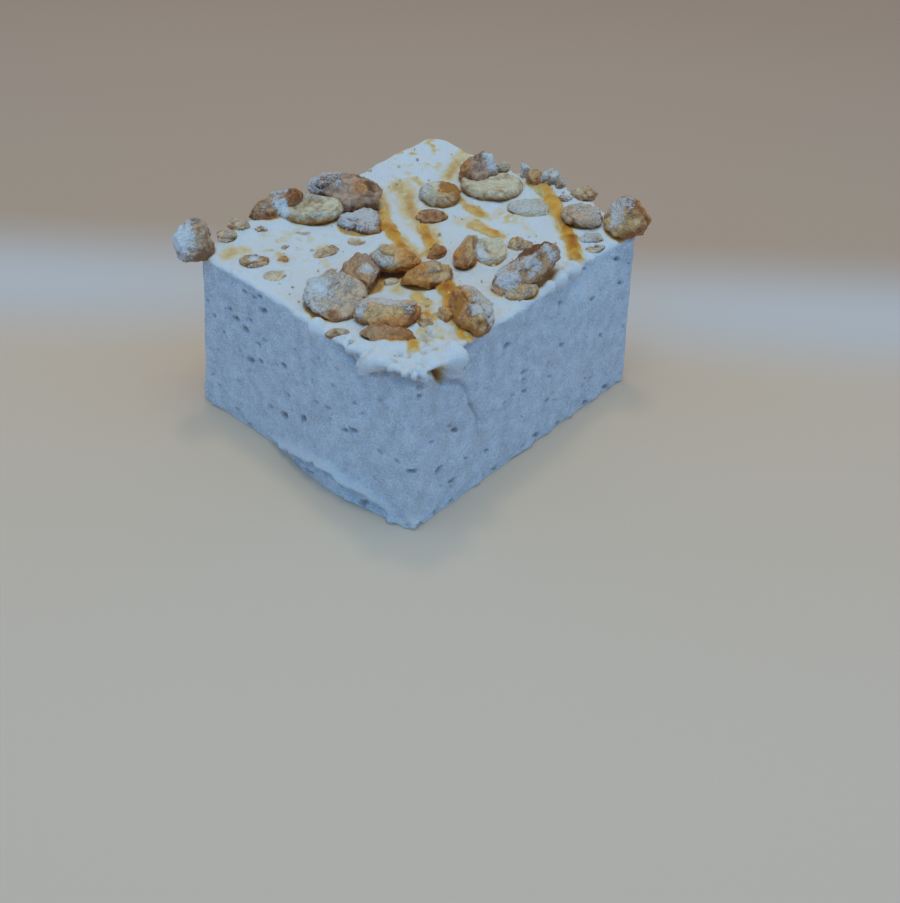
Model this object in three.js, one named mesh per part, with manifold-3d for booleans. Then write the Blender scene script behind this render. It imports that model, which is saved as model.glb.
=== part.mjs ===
// A cut square of caramel and nut marshmallow: a soft white block, flat underneath, whose top
// carries roasted peanut halves, smaller chips of nut and thick strings of caramel.
//
// Millimetres, +Z up. The origin is the middle of the base, +X runs along the long side.
// Places on the top are measured from the block's front corner: the first number along the
// long side, the second along the short side.

import * as THREE from 'three';
import { mergeVertices } from 'three/addons/utils/BufferGeometryUtils.js';
import Module from 'manifold-3d';

const wasm = await Module();
wasm.setup();

// ---------------------------------------------------------------- driving dimensions

const LONG = 63.2;               // base, along X
const SHORT = 55.4;              // base, along Y
const HEIGHT = 31.5;             // base to the flat of the top
const CORNER_AT = [-1.0, -1.0];  // the base's front corner, where the places are measured from
const LEAN = { front: 1.9, back: 2.4, left: 1.5, right: 0.1 };  // each wall leans in by this
const TOP_EDGE = 0.9;            // radius of the cut edge round the top
const FOOT_EDGE = 0.5;           // radius under the foot
const CORNER_RADIUS = { front: 2.0, left: 2.2, right: 2.0, back: 5.0 };
const CELL = 3.4;                // size of a cell of the top
const EDGE_CELL = 1.1;           // the narrow cells beside the edges
const WALL_CELL = 4.6;           // height of a cell of the walls
const UNEVEN = 0.18;             // unevenness of the top
const FOOT_RIPPLE = 0.4;         // raggedness of the foot
const GAP = 0.38;                // clearance round a nut that is pressed into the top

// The top's slow rises and falls: [height, along, its spread, across, its spread].
const TOP_FORMS = {
  backCorner: [2.8, 59, 14, 50, 12],
  rightRim: [2.3, 64, 7, 20, 16],
  backRim: [1.5, 20, 15, 57, 8],
  frontLip: [0.7, 4, 6, 4, 7],
  caramelSag: [-1.1, 48, 8, 0, 4],
};

// Swellings of the walls: [outward, where along the wall, its spread]. The front wall also has
// a dip and a lip at its top edge: [outward, along, its spread, its spread downwards].
const LEFT_BULGE = [1.6, 18, 11];
const LEFT_SLUMP = 0.7;          // the left bulge is larger by this at the foot
const RIGHT_SWELL = [1.3, 20, 14];
const BACK_SWELL = [2.6, 20, 15];
const FRONT_DIP = [-2.4, 48, 9, 6];
const FRONT_LIP = [1.4, 3, 8, 3];

const CREAM = '#e9edef';
const TAN = '#b79a6d';
const PALE = '#cfc79f';
const BROWN = '#8a6844';
const GREY = '#8f867b';
const FLOURY = '#b3aea6';

// ---------------------------------------------------------------- toppings

// One row is one piece of nut: [name, along, across, lift, length, width, thickness, yaw,
// pitch, roll, colour, cuts]. Lift is its middle's height over the top. Yaw turns it about Z,
// pitch raises its far end and roll tips it sideways. A cut [x, y, z, d] slices off what lies
// beyond the plane x*X + y*Y + z*Z = d, with the piece scaled to a ball of radius 1.
const NUTS = [
  ['nut_corner', 0.2, 53.1, 2.0, 7.6, 7.4, 9.4, -48, 0, 0, FLOURY,
    [[-0.75, 0.5, 0.5, 0.66], [0.9, 0.1, 0.45, 0.8], [0, 0, -1, 0.5], [0, -0.7, 0.7, 0.8]]],
  ['nut_long_half', 23.8, 48.3, 1.4, 12.2, 8.2, 5.0, -47, 2, 8, PALE,
    [[0, 0, 1, 0.5], [0, 0, -1, 0.55]]],
  ['nut_brown_shard', 19.2, 52.7, 1.4, 11.2, 5.0, 5.2, -16, 10, 0, BROWN,
    [[-0.3, -0.9, 0.35, 0.6], [0, 0, 1, 0.66], [0, 0, -1, 0.5]]],
  ['nut_dark_whole', 31.6, 47.2, 2.2, 16.0, 8.6, 7.2, -66, 2, 0, GREY,
    [[0.1, -0.8, 0.6, 0.72], [0, 0, -1, 0.55], [-0.5, -0.8, 0.2, 0.72]]],
  ['nut_wedge', 27.4, 38.8, 0.9, 9.0, 8.0, 4.6, -50, 0, 6, GREY,
    [[-0.45, -0.9, 0.1, 0.46], [0.95, 0, 0.3, 0.74], [0, 0.1, 1, 0.5], [-0.6, 0.8, 0, 0.7]]],
  ['nut_round_half', 5.7, 23.5, 1.9, 10.6, 11.0, 4.6, -50, 0, 24, FLOURY,
    [[0, 0, 1, 0.42], [0, 0, -1, 0.6], [-0.6, 0.8, 0, 0.8]]],
  ['nut_propped', 20.9, 24.1, 2.6, 9.4, 5.8, 4.2, -52, -6, 8, TAN,
    [[0, 0, -1, 0.45], [-0.9, 0.3, 0.2, 0.82], [0.6, 0.76, 0.2, 0.6]]],
  ['nut_folded', 14.5, 25.6, 1.6, 9.4, 8.6, 5.6, -124, -6, 0, BROWN,
    [[0.6, 0.8, 0, 0.56], [0.6, -0.8, 0, 0.56], [0, 0.6, 0.8, 0.62], [0, -0.75, 0.66, 0.5],
      [0, 0, -1, 0.5]]],
  ['nut_glazed_half', 22.1, 17.6, 1.3, 9.8, 5.8, 4.4, -24, 0, 0, TAN,
    [[0, 0, -1, 0.55], [0.2, -0.75, 0.6, 0.78], [-0.6, 0.76, 0.2, 0.68]]],
  ['nut_front_half', 8.7, 14.2, 1.7, 10.8, 8.0, 5.4, -50, 0, 0, TAN,
    [[0, 0, -1, 0.5], [0, 0.5, 0.86, 0.6], [0, -0.8, 0.6, 0.66]]],
  ['nut_under', 4.4, 10.0, 0.6, 8.8, 4.0, 3.6, -50, -4, 0, BROWN,
    [[0, 0, -1, 0.6], [0, -0.8, 0.6, 0.66]]],
  ['nut_edge_whole', 18.9, 4.7, 1.8, 12.6, 7.0, 6.8, 58, 0, 0, TAN,
    [[0, 0, -1, 0.5], [0.2, -0.6, 0.77, 0.86]]],
  ['nut_crescent', 33.2, 17.7, 1.4, 9.8, 4.8, 5.2, 24, 0, 0, TAN,
    [[0.2, -0.9, 0.35, 0.5], [0, 0, -1, 0.5]]],
  ['nut_plate', 36.5, 15.4, 1.1, 6.2, 7.8, 3.8, -44, 4, 14, PALE,
    [[0.1, 0, 1, 0.45], [0, -0.9, 0.4, 0.76], [0, 0, -1, 0.6]]],
  ['nut_powdered_long', 34.2, 5.7, 2.3, 15.6, 6.8, 6.6, -6, 14, 0, BROWN,
    [[0, 0, -1, 0.5], [0, 0.45, 0.9, 0.66], [0, -0.8, 0.6, 0.8]]],
  ['nut_powdered_lobe', 30.3, 3.1, 0.9, 6.2, 3.4, 3.2, -20, 0, 0, TAN,
    [[0, 0, -1, 0.6]]],
  ['nut_right_oval', 57.5, 11.1, 1.0, 8.2, 7.0, 3.8, -62, -2, 0, FLOURY,
    [[0, 0, 1, 0.55], [0, 0, -1, 0.6]]],
  ['nut_right_corner', 60.8, 3.2, 2.3, 8.4, 8.0, 7.8, -50, 0, 0, TAN,
    [[-0.85, -0.3, 0.45, 0.62], [0, 0, -1, 0.55], [0.8, 0.2, 0.6, 0.84]]],
  ['nut_flat_pale', 54.6, 20.8, 0.4, 8.8, 6.2, 2.8, -58, 0, 0, PALE,
    [[0, 0, 1, 0.5], [0, -0.9, 0.3, 0.76]]],
  ['nut_back_half', 55.2, 30.8, 0.9, 12.4, 9.4, 4.0, -52, 0, 0, PALE,
    [[0, 0, 1, 0.5], [0, 0, -1, 0.6]]],
  ['nut_back_edge', 56.2, 35.2, 2.2, 8.0, 6.8, 7.0, -30, 10, 0, GREY,
    [[0.3, -0.85, 0.4, 0.62], [0, 0, -1, 0.5], [-0.5, 0, 0.86, 0.8]]],
  ['nut_drizzled', 45.5, 35.5, 1.1, 8.0, 7.8, 4.6, -56, 0, 0, PALE,
    [[0, 0, 1, 0.55], [0, 0, -1, 0.6]]],
  ['nut_sunken', 39.3, 31.9, 0.1, 6.4, 4.8, 2.8, -42, 0, 0, BROWN,
    [[0, 0, 1, 0.5]]],
];

// One row is one small chip that is stuck fast: [along, across, lift, length, width,
// thickness, yaw, cuts].
const CHIPS = [
  [10.9, 54.0, 0.2, 4.4, 3.6, 2.6, -45, [[0, 0, 1, 0.6]]],
  [7.0, 52.6, 0.2, 4.6, 3.6, 2.8, -20, [[0, 0, 1, 0.6]]],
  [13.6, 50.6, 0.0, 2.8, 1.6, 1.6, -50, []],
  [5.3, 43.1, 0.1, 5.9, 4.4, 2.6, -32, [[0, 0, 1, 0.5], [-0.9, -0.4, 0, 0.75]]],
  [9.6, 40.3, 0.0, 3.0, 2.8, 1.6, -45, []],
  [4.8, 37.2, 0.0, 4.8, 3.6, 1.8, -40, [[0, 0, 1, 0.5]]],
  [16.8, 36.9, 0.0, 6.2, 3.4, 2.0, -6, [[0, 0, 1, 0.5]]],
  [23.0, 35.5, 0.0, 4.2, 2.8, 1.6, -52, []],
  [0.6, 16.9, -0.2, 4.8, 2.6, 2.0, -46, []],
  [17.6, 21.6, 0.0, 3.6, 2.4, 1.8, -26, []],
  [29.8, 22.4, 0.6, 5.0, 3.4, 3.4, 0, [[-0.6, 0.2, 0.7, 0.6]]],
  [16.4, 7.3, 0.9, 4.8, 3.8, 3.8, -50, [[0, 0, 1, 0.45], [0.6, -0.8, 0, 0.6]]],
  [11.6, 9.0, 0.3, 3.8, 2.8, 2.6, -45, []],
  [42.6, 13.4, 0.5, 4.6, 3.6, 3.2, -30, [[-0.5, -0.4, 0.75, 0.6]]],
  [54.0, 6.0, 0.3, 6.4, 2.8, 2.2, -32, [[0, 0, 1, 0.5]]],
  [52.6, 3.9, -0.2, 5.2, 2.4, 2.0, -26, [[0, 0, 1, 0.5]]],
  [61.4, 33.2, 1.0, 3.2, 2.4, 3.0, -40, [[0, 0, 1, 0.7]]],
  [62.2, 28.2, 1.2, 2.4, 2.2, 3.8, -50, [[0.7, 0, 0.7, 0.7]]],
  [61.4, 25.2, 0.9, 3.6, 3.2, 3.4, -40, [[0, -0.6, 0.8, 0.6]]],
  [62.8, 22.6, 1.3, 4.0, 3.4, 4.2, -30, [[0.3, 0.3, 0.9, 0.7]]],
  [63.0, 20.4, 0.7, 2.6, 3.0, 3.0, -60, []],
  [63.0, 14.4, 0.8, 5.0, 3.4, 3.2, -62, [[0, -0.4, 0.9, 0.6]]],
  [60.6, 17.0, 0.1, 3.8, 2.2, 1.4, -52, []],
  [12.9, 43.4, 0.0, 2.6, 1.8, 1.0, 10, []],
  [18.2, 44.6, 0.0, 3.4, 2.0, 1.0, -45, []],
];

// One string of caramel: [width, thickness, points along it as [along, across]].
const STRINGS = [
  [2.6, 1.9, [[62.0, 24.4], [59.4, 19.6], [56.2, 14.2], [53.0, 9.8], [50.0, 6.4], [47.0, 4.0]]],
  [2.4, 1.8, [[37.4, 43.6], [33.0, 38.2], [30.3, 34.0], [28.1, 29.6], [26.4, 26.2]]],
  [2.2, 1.5, [[36.3, 32.0], [33.4, 27.8], [31.2, 24.6]]],
  [3.2, 2.4, [[24.9, 16.7], [23.0, 13.8], [21.2, 11.0]]],
  [2.4, 1.8, [[22.1, 13.0], [19.4, 9.5], [17.0, 6.0], [15.2, 3.2]]],
  [2.0, 1.6, [[46.9, 30.0], [46.9, 27.6], [46.8, 25.6]]],
  [2.2, 1.4, [[42.6, 24.8], [42.9, 21.8], [43.2, 18.6]]],
  [2.2, 1.6, [[12.4, 12.6], [13.6, 11.0], [14.6, 9.4]]],
  [1.8, 1.6, [[7.0, 7.4], [6.2, 6.0], [4.9, 4.6]]],
];
const STRING_SIDES = 6;
const STRING_STEP = 2.0;
const STRING_TIP = 0.55;         // width at the very ends, as a share of the string's width

const KNOBBLY = 0.07;            // unevenness of a nut, as a share of its radius
const LARGE = 6;                 // nuts longer than this get finer faces
const NUT_ROUGHNESS = 0.6;
const CREAM_ROUGHNESS = 0.85;

// ---------------------------------------------------------------- the block's form

const bell = (value, middle, spread) => Math.exp(-(((value - middle) / spread) ** 2));
const mix = (from, to, share) => from + (to - from) * share;
const clamp = (value, low, high) => Math.min(Math.max(value, low), high);
const toBase = ([along, across]) => [
  along - CORNER_AT[0] - LONG / 2,
  across - CORNER_AT[1] - SHORT / 2,
];

// A slow unevenness, about -1 to 1, for torn and sagging surfaces.
function ripple(x, y, z) {
  return (
    0.5 * Math.sin(0.31 * x + 0.23 * y + 1.1) * Math.cos(0.27 * y - 0.38 * z) +
    0.3 * Math.sin(0.57 * y + 0.49 * z + 2.3) +
    0.2 * Math.cos(0.71 * x - 0.63 * z + 0.4)
  );
}

// The top's height: nearly flat, swollen at the back corner and along two of its rims, with a
// torn lip at the front corner, and sagging where caramel weighs on the front edge.
function topHeight(along, across) {
  let height = HEIGHT + UNEVEN * ripple(along, across, 0);
  for (const [rise, middleAlong, spreadAlong, middleAcross, spreadAcross] of
    Object.values(TOP_FORMS)) {
    height += rise * bell(along, middleAlong, spreadAlong)
      * bell(across, middleAcross, spreadAcross);
  }
  return height;
}

const swell = (where, [outward, middle, spread]) => outward * bell(where, middle, spread);

// Where the four walls stand at a height, before their corners are rounded.
function walls(along, across, z) {
  const rise = clamp(z / HEIGHT, 0, 1.1);
  const leftOut = swell(across, LEFT_BULGE) * (1 + (LEFT_SLUMP / LEFT_BULGE[0]) * (1 - rise));
  const rightOut = swell(across, RIGHT_SWELL) * rise;
  const backOut = swell(along, BACK_SWELL) * rise;
  const frontOut = swell(along, FRONT_DIP) * bell(z, HEIGHT, FRONT_DIP[3])
    + swell(along, FRONT_LIP) * bell(z, HEIGHT, FRONT_LIP[3]);
  const foot = FOOT_RIPPLE * bell(z, 0, 2.2);
  return {
    left: CORNER_AT[0] + LEAN.left * rise - leftOut - foot * ripple(3 * across, z, 5),
    right: CORNER_AT[0] + LONG - LEAN.right * rise + rightOut,
    front: CORNER_AT[1] + LEAN.front * rise - frontOut - foot * ripple(3 * along, z, 9),
    back: CORNER_AT[1] + SHORT - LEAN.back * rise + backOut,
  };
}

// A point of the block for shares s along X and t along Y (0 to 1), inset from the walls.
function blockPoint(s, t, z, inset) {
  const rough = walls(s * LONG, t * SHORT, z);
  const half = [(rough.right - rough.left) / 2 - inset, (rough.back - rough.front) / 2 - inset];
  let x = (2 * s - 1) * half[0];
  let y = (2 * t - 1) * half[1];
  const name = x < 0 ? (y < 0 ? 'front' : 'left') : (y < 0 ? 'right' : 'back');
  const radius = Math.max(CORNER_RADIUS[name] - inset, 0.4);
  const over = [Math.abs(x) - half[0] + radius, Math.abs(y) - half[1] + radius];
  if (over[0] > 0 && over[1] > 0) {
    const shrink = Math.max(...over) / Math.hypot(...over);
    x = Math.sign(x) * (half[0] - radius + over[0] * shrink);
    y = Math.sign(y) * (half[1] - radius + over[1] * shrink);
  }
  return [x + (rough.left + rough.right) / 2, y + (rough.front + rough.back) / 2];
}

// Grid lines from 0 to 1, closer together at both ends, where the edges are round.
function gridLines(length) {
  const inner = Math.round((length - 2 * EDGE_CELL) / CELL);
  const lines = [0];
  for (let i = 0; i <= inner; i += 1) {
    lines.push(mix(EDGE_CELL, length - EDGE_CELL, i / inner) / length);
  }
  lines.push(1);
  return lines;
}

// The rows of the wall from the top edge down to the foot: [height below the top as a share
// of the wall, inset].
function wallRows() {
  const rows = [];
  for (const angle of [60, 30, 0]) {
    const turn = THREE.MathUtils.degToRad(angle);
    rows.push([TOP_EDGE * (1 - Math.sin(turn)), TOP_EDGE * (1 - Math.cos(turn))]);
  }
  const steps = Math.round(HEIGHT / WALL_CELL);
  for (let i = 1; i < steps; i += 1) {
    rows.push([mix(TOP_EDGE, HEIGHT - FOOT_EDGE, i / steps), 0]);
  }
  rows.push([HEIGHT - FOOT_EDGE, 0], [HEIGHT, FOOT_EDGE]);
  return rows;
}

function blockGeometry() {
  const xs = gridLines(LONG);
  const ys = gridLines(SHORT);
  const points = [];
  const faces = [];
  const place = (x, y, z) => points.push(x, y, z) / 3 - 1;

  // the top: a lattice of cells
  const top = xs.map((s) => ys.map((t) => {
    const [along, across] = blockPoint(s, t, HEIGHT, TOP_EDGE);
    return place(...toBase([along, across]), topHeight(along, across));
  }));
  for (let i = 0; i + 1 < xs.length; i += 1) {
    for (let j = 0; j + 1 < ys.length; j += 1) {
      const [a, b, c, d] = [top[i][j], top[i + 1][j], top[i + 1][j + 1], top[i][j + 1]];
      faces.push(a, b, c, a, c, d);
    }
  }

  // the lattice's rim, once round
  const lastX = xs.length - 1;
  const lastY = ys.length - 1;
  const rim = [
    ...xs.slice(1).map((_, i) => [i, 0]),
    ...ys.slice(1).map((_, j) => [lastX, j]),
    ...xs.slice(1).map((_, i) => [lastX - i, lastY]),
    ...ys.slice(1).map((_, j) => [0, lastY - j]),
  ];

  // the walls: rows of the same rim, further and further down
  let above = rim.map(([i, j]) => top[i][j]);
  for (const [depth, inset] of wallRows()) {
    const row = rim.map(([i, j]) => {
      const [edgeAlong, edgeAcross] = blockPoint(xs[i], ys[j], HEIGHT, TOP_EDGE);
      const level = topHeight(edgeAlong, edgeAcross) * (1 - depth / HEIGHT);
      const [along, across] = blockPoint(xs[i], ys[j], level, inset);
      const [x, y] = toBase([along, across]);
      return place(x, y, Math.max(level, 0));
    });
    rim.forEach((_, k) => {
      const next = (k + 1) % rim.length;
      faces.push(above[next], above[k], row[k], above[next], row[k], row[next]);
    });
    above = row;
  }

  // the flat base
  const middle = place(0, 0, 0);
  above.forEach((vertex, k) => faces.push(above[(k + 1) % above.length], vertex, middle));

  const geometry = new THREE.BufferGeometry();
  geometry.setAttribute('position', new THREE.Float32BufferAttribute(points, 3));
  geometry.setIndex(faces);
  return geometry;
}

// ---------------------------------------------------------------- nuts and caramel

// A piece of nut about its own middle: a ball of radius 1, sliced by its cuts, then stretched
// to its size. Grow makes it larger all round.
function nutGeometry(size, cuts, detail, seed, grow = 0) {
  const ball = new THREE.IcosahedronGeometry(1, detail);
  ball.deleteAttribute('normal');
  ball.deleteAttribute('uv');
  const geometry = mergeVertices(ball);
  const place = geometry.getAttribute('position');
  const point = new THREE.Vector3();
  for (let i = 0; i < place.count; i += 1) {
    point.fromBufferAttribute(place, i).normalize();
    let reach = 1 + KNOBBLY * ripple(4 * point.x + seed, 5 * point.y, 5 * point.z + seed);
    for (const [x, y, z, depth] of cuts) {
      const facing = point.dot(new THREE.Vector3(x, y, z).normalize());
      if (facing > 0) {
        reach = Math.min(reach, depth / facing);
      }
    }
    point.multiplyScalar(reach);
    point.set(point.x * size[0] / 2, point.y * size[1] / 2, point.z * size[2] / 2);
    point.multiplyScalar(1 + grow / point.length());
    place.setXYZ(i, point.x, point.y, point.z);
  }
  return geometry;
}

// Seats a piece on the top, turned by yaw about Z, then pitch and roll about its own axes.
function seat(object, along, across, lift, yaw, pitch, roll) {
  const [x, y] = toBase([along, across]);
  object.position.set(x, y, topHeight(along, across) + lift);
  object.rotation.set(
    THREE.MathUtils.degToRad(roll),
    THREE.MathUtils.degToRad(-pitch),
    THREE.MathUtils.degToRad(yaw),
    'ZYX',
  );
  object.updateMatrix();
  return object;
}

// A string of caramel that lies on the top: rings along a smooth line, tapered at both ends.
function stringGeometry(width, thickness, route) {
  const line = new THREE.CatmullRomCurve3(route.map(([along, across]) => (
    new THREE.Vector3(...toBase([along, across]), topHeight(along, across)))));
  const steps = Math.max(4, Math.round(line.getLength() / STRING_STEP));
  const points = [];
  const faces = [];
  for (let k = 0; k <= steps; k += 1) {
    const share = k / steps;
    const middle = line.getPointAt(share);
    const along = line.getTangentAt(share);
    const side = new THREE.Vector3(-along.y, along.x, 0).normalize();
    const taper = mix(STRING_TIP, 1, Math.sqrt(Math.abs(Math.sin(Math.PI * share))));
    for (let n = 0; n < STRING_SIDES; n += 1) {
      const turn = (2 * Math.PI * n) / STRING_SIDES;
      const across = side.clone().multiplyScalar(0.5 * width * taper * Math.cos(turn));
      const up = 0.5 * thickness * taper * Math.sin(turn);
      points.push(middle.x + across.x, middle.y + across.y, middle.z + across.z + up);
    }
  }
  const ring = (k, n) => k * STRING_SIDES + (n % STRING_SIDES);
  for (let k = 0; k < steps; k += 1) {
    for (let n = 0; n < STRING_SIDES; n += 1) {
      faces.push(ring(k, n), ring(k + 1, n + 1), ring(k + 1, n));
      faces.push(ring(k, n), ring(k, n + 1), ring(k + 1, n + 1));
    }
  }
  for (let n = 1; n + 1 < STRING_SIDES; n += 1) {
    faces.push(ring(0, 0), ring(0, n + 1), ring(0, n));
    faces.push(ring(steps, 0), ring(steps, n), ring(steps, n + 1));
  }
  const geometry = new THREE.BufferGeometry();
  geometry.setAttribute('position', new THREE.Float32BufferAttribute(points, 3));
  geometry.setIndex(faces);
  return geometry;
}

// ---------------------------------------------------------------- joining and cutting

function toSolid(geometry, matrix = new THREE.Matrix4()) {
  const placed = geometry.clone().applyMatrix4(matrix);
  return new wasm.Manifold(new wasm.Mesh({
    numProp: 3,
    vertProperties: new Float32Array(placed.getAttribute('position').array),
    triVerts: new Uint32Array(placed.getIndex().array),
  }));
}

function toGeometry(solid) {
  const mesh = solid.getMesh();
  const geometry = new THREE.BufferGeometry();
  geometry.setAttribute('position', new THREE.Float32BufferAttribute(mesh.vertProperties, 3));
  geometry.setIndex([...mesh.triVerts]);
  return geometry;
}

// The largest of the pieces that a cut leaves.
function largest(solid) {
  return solid.decompose().reduce((best, piece) => (
    piece.volume() > best.volume() ? piece : best));
}

// ---------------------------------------------------------------- the pieces

function paint(colour, roughness) {
  return new THREE.MeshStandardMaterial({ color: colour, roughness, metalness: 0 });
}

const detailFor = (length) => (length > LARGE ? 2 : 1);

function nutMatrix([, along, across, lift, , , , yaw, pitch, roll]) {
  return seat(new THREE.Object3D(), along, across, lift, yaw, pitch, roll).matrix;
}

// The room that a nut takes up: the same piece, larger by the gap.
function nutRoom(row, index) {
  const [, , , , length, width, thick, , , , , cuts] = row;
  const geometry = nutGeometry([length, width, thick], cuts, detailFor(length), index, GAP);
  return toSolid(geometry, nutMatrix(row));
}

// A nut, trimmed where it would run into one that is earlier in the list.
function nutMesh(row, index, rooms) {
  const [name, along, across, lift, length, width, thick, yaw, pitch, roll, colour, cuts] = row;
  const geometry = nutGeometry([length, width, thick], cuts, detailFor(length), index);
  const matrix = nutMatrix(row);
  let solid = toSolid(geometry, matrix);
  for (const room of rooms.slice(0, index)) {
    solid = solid.subtract(room);
  }
  const trimmed = toGeometry(largest(solid)).applyMatrix4(matrix.clone().invert());
  const mesh = new THREE.Mesh(trimmed, paint(colour, NUT_ROUGHNESS));
  mesh.name = name;
  return seat(mesh, along, across, lift, yaw, pitch, roll);
}

function chipSolid([along, across, lift, length, width, thick, yaw, cuts], index) {
  const geometry = nutGeometry([length, width, thick], cuts, 1, index + 40);
  return toSolid(geometry, seat(new THREE.Object3D(), along, across, lift, yaw, 0, 0).matrix);
}

// The block with its chips and strings stuck on, hollowed where the nuts sit.
function marshmallowMesh(rooms) {
  let solid = toSolid(blockGeometry());
  for (const [index, row] of CHIPS.entries()) {
    solid = solid.add(chipSolid(row, index));
  }
  for (const row of STRINGS) {
    solid = solid.add(toSolid(stringGeometry(...row)));
  }
  for (const room of rooms) {
    solid = solid.subtract(room);
  }
  const mesh = new THREE.Mesh(toGeometry(largest(solid)), paint(CREAM, CREAM_ROUGHNESS));
  mesh.name = 'marshmallow';
  return mesh;
}

const nutRooms = NUTS.map(nutRoom);
const caramelMarshmallow = new THREE.Group();
caramelMarshmallow.add(marshmallowMesh(nutRooms));
caramelMarshmallow.add(...NUTS.map((row, index) => nutMesh(row, index, nutRooms)));

export default caramelMarshmallow;
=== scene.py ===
# %% [markdown]
# # A cut square of caramel and nut marshmallow
#
# The real sweet is a slab of whipped sugar foam, cut into squares with a knife. While its top
# was still sticky it was strewn with roasted peanuts, drizzled with caramel and dusted with
# starch and fine sugar. This lesson dresses the plain solids of one such square. The foam, each
# piece of nut and the caramel are surfaces worked out with numpy, and each finish is a small
# network of nodes. The solids are loaded first.

import bpy
import numpy as np
from mathutils import Matrix


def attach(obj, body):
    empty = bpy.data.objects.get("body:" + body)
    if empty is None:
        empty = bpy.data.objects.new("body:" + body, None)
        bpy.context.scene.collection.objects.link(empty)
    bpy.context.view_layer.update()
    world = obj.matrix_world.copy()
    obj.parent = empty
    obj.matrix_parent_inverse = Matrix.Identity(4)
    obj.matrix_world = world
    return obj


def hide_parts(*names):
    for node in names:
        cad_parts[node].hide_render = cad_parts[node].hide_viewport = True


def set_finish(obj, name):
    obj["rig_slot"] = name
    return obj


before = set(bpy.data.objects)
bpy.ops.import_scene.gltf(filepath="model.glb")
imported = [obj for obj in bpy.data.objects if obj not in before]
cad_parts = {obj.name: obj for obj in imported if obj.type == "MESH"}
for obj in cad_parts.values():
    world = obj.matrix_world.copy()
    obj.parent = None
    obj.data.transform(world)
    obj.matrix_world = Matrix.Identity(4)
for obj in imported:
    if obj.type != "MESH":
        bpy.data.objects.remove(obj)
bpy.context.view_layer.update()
MM = 0.001

# %% [markdown]
# ## From arrays to objects
#
# Every new piece starts as an array of points in millimetres and an array of faces. One function
# turns them into an object that sits at the origin, rides on the square's one body, and carries
# a number per point for each attribute, which the materials read later. Two give the faces of a
# grid and of a closed tube. The last finds the unit normals of a surface, so that relief can be
# pushed straight out of it.


# %% Helpers for meshes
def placed(name, data):
    """A new object in the scene, from a mesh, a lamp or a camera."""
    thing = bpy.data.objects.new(name, data)
    bpy.context.scene.collection.objects.link(thing)
    return thing


def make_piece(name, points, faces, material_slot, **attributes):
    """An object from points in mm and faces of four corners (a triangle repeats its last one)."""
    corners = [[a, b, c] if c == d else [a, b, c, d] for a, b, c, d in faces.tolist()]
    mesh = bpy.data.meshes.new(name)
    mesh.from_pydata((points * MM).tolist(), [], corners)
    mesh.polygons.foreach_set("use_smooth", np.ones(len(corners), bool))
    for key, values in attributes.items():
        layer = mesh.attributes.new(key, "FLOAT", "POINT")
        layer.data.foreach_set("value", np.asarray(values, np.float32))
    piece = placed(name, mesh)
    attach(piece, "root")
    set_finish(piece, material_slot)
    return piece


def grid_faces(index):
    """Four-cornered faces between the neighbours in a grid of point numbers."""
    corners = [index[:-1, :-1], index[1:, :-1], index[1:, 1:], index[:-1, 1:]]
    return np.stack(corners, -1).reshape(-1, 4)


def tube_faces(index, tips):
    """Faces of a tube: rows of point numbers are its rings, and a fan to a tip closes each end."""
    index = np.column_stack([index, index[:, 0]])
    first, last = [np.full(len(index[0]) - 1, tip) for tip in tips]
    start = np.stack([index[0, :-1], index[0, 1:], first, first], -1)
    end = np.stack([index[-1, 1:], index[-1, :-1], last, last], -1)
    return np.vstack([grid_faces(index), start, end])


def surface_normals(points, faces):
    """Unit normals: each face's normal (the cross product of its diagonals) added to its points."""
    diagonals = np.cross(points[faces[:, 2]] - points[faces[:, 0]], points[faces[:, 3]] - points[faces[:, 1]])
    normals = np.zeros_like(points)
    for axis in range(3):
        for corner in range(4):
            normals[:, axis] += np.bincount(faces[:, corner], diagonals[:, axis], len(points))
    return normals / np.linalg.norm(normals, axis=1, keepdims=True)


# %% [markdown]
# ## Unevenness
#
# Food is never smooth. A slow ripple gives the same sag and swelling that the solids have, and a
# noise made of random values on a lattice, blended smoothly between its corners, gives the finer
# relief. Both are plain formulas, so each run makes the same square.


# %% Bells, ripples and noise
def bell(value, middle, spread):
    """A bell curve of height 1: e to the minus square of the distance in spreads."""
    return np.exp(-(((value - middle) / spread) ** 2))


def ramp(value, low, high):
    """0 below low, 1 above high, and a smooth S between them."""
    share = np.clip((value - low) / (high - low), 0, 1)
    return share * share * (3 - 2 * share)


def ripple(x, y, z):
    """A slow unevenness from -1 to 1: three products and sums of sines."""
    return (
        0.5 * np.sin(0.31 * x + 0.23 * y + 1.1) * np.cos(0.27 * y - 0.38 * z)
        + 0.3 * np.sin(0.57 * y + 0.49 * z + 2.3)
        + 0.2 * np.cos(0.71 * x - 0.63 * z + 0.4)
    )


def lattice_value(corner, seed):
    """A random value from -1 to 1 for each whole-numbered corner, by mixing its bits."""
    mixed = corner[..., 0] * 73856093 ^ corner[..., 1] * 19349663 ^ corner[..., 2] * 83492791 ^ seed * 2654435
    mixed = (mixed ^ (mixed >> 13)) * 1274126177
    return ((mixed ^ (mixed >> 16)) & 0xFFFF) / 32767.5 - 1


def noise(points, size, seed):
    """Noise with lumps of the given size in mm: lattice values blended by smooth S curves."""
    scaled = points / size + 0.37 * seed
    low = np.floor(scaled).astype(np.int64)
    share = scaled - low
    share = share * share * (3 - 2 * share)
    total = np.zeros(len(points))
    for corner in np.ndindex(2, 2, 2):
        weight = np.prod(np.where(corner, share, 1 - share), axis=1)
        total += weight * lattice_value(low + np.array(corner), seed)
    return total


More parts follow.
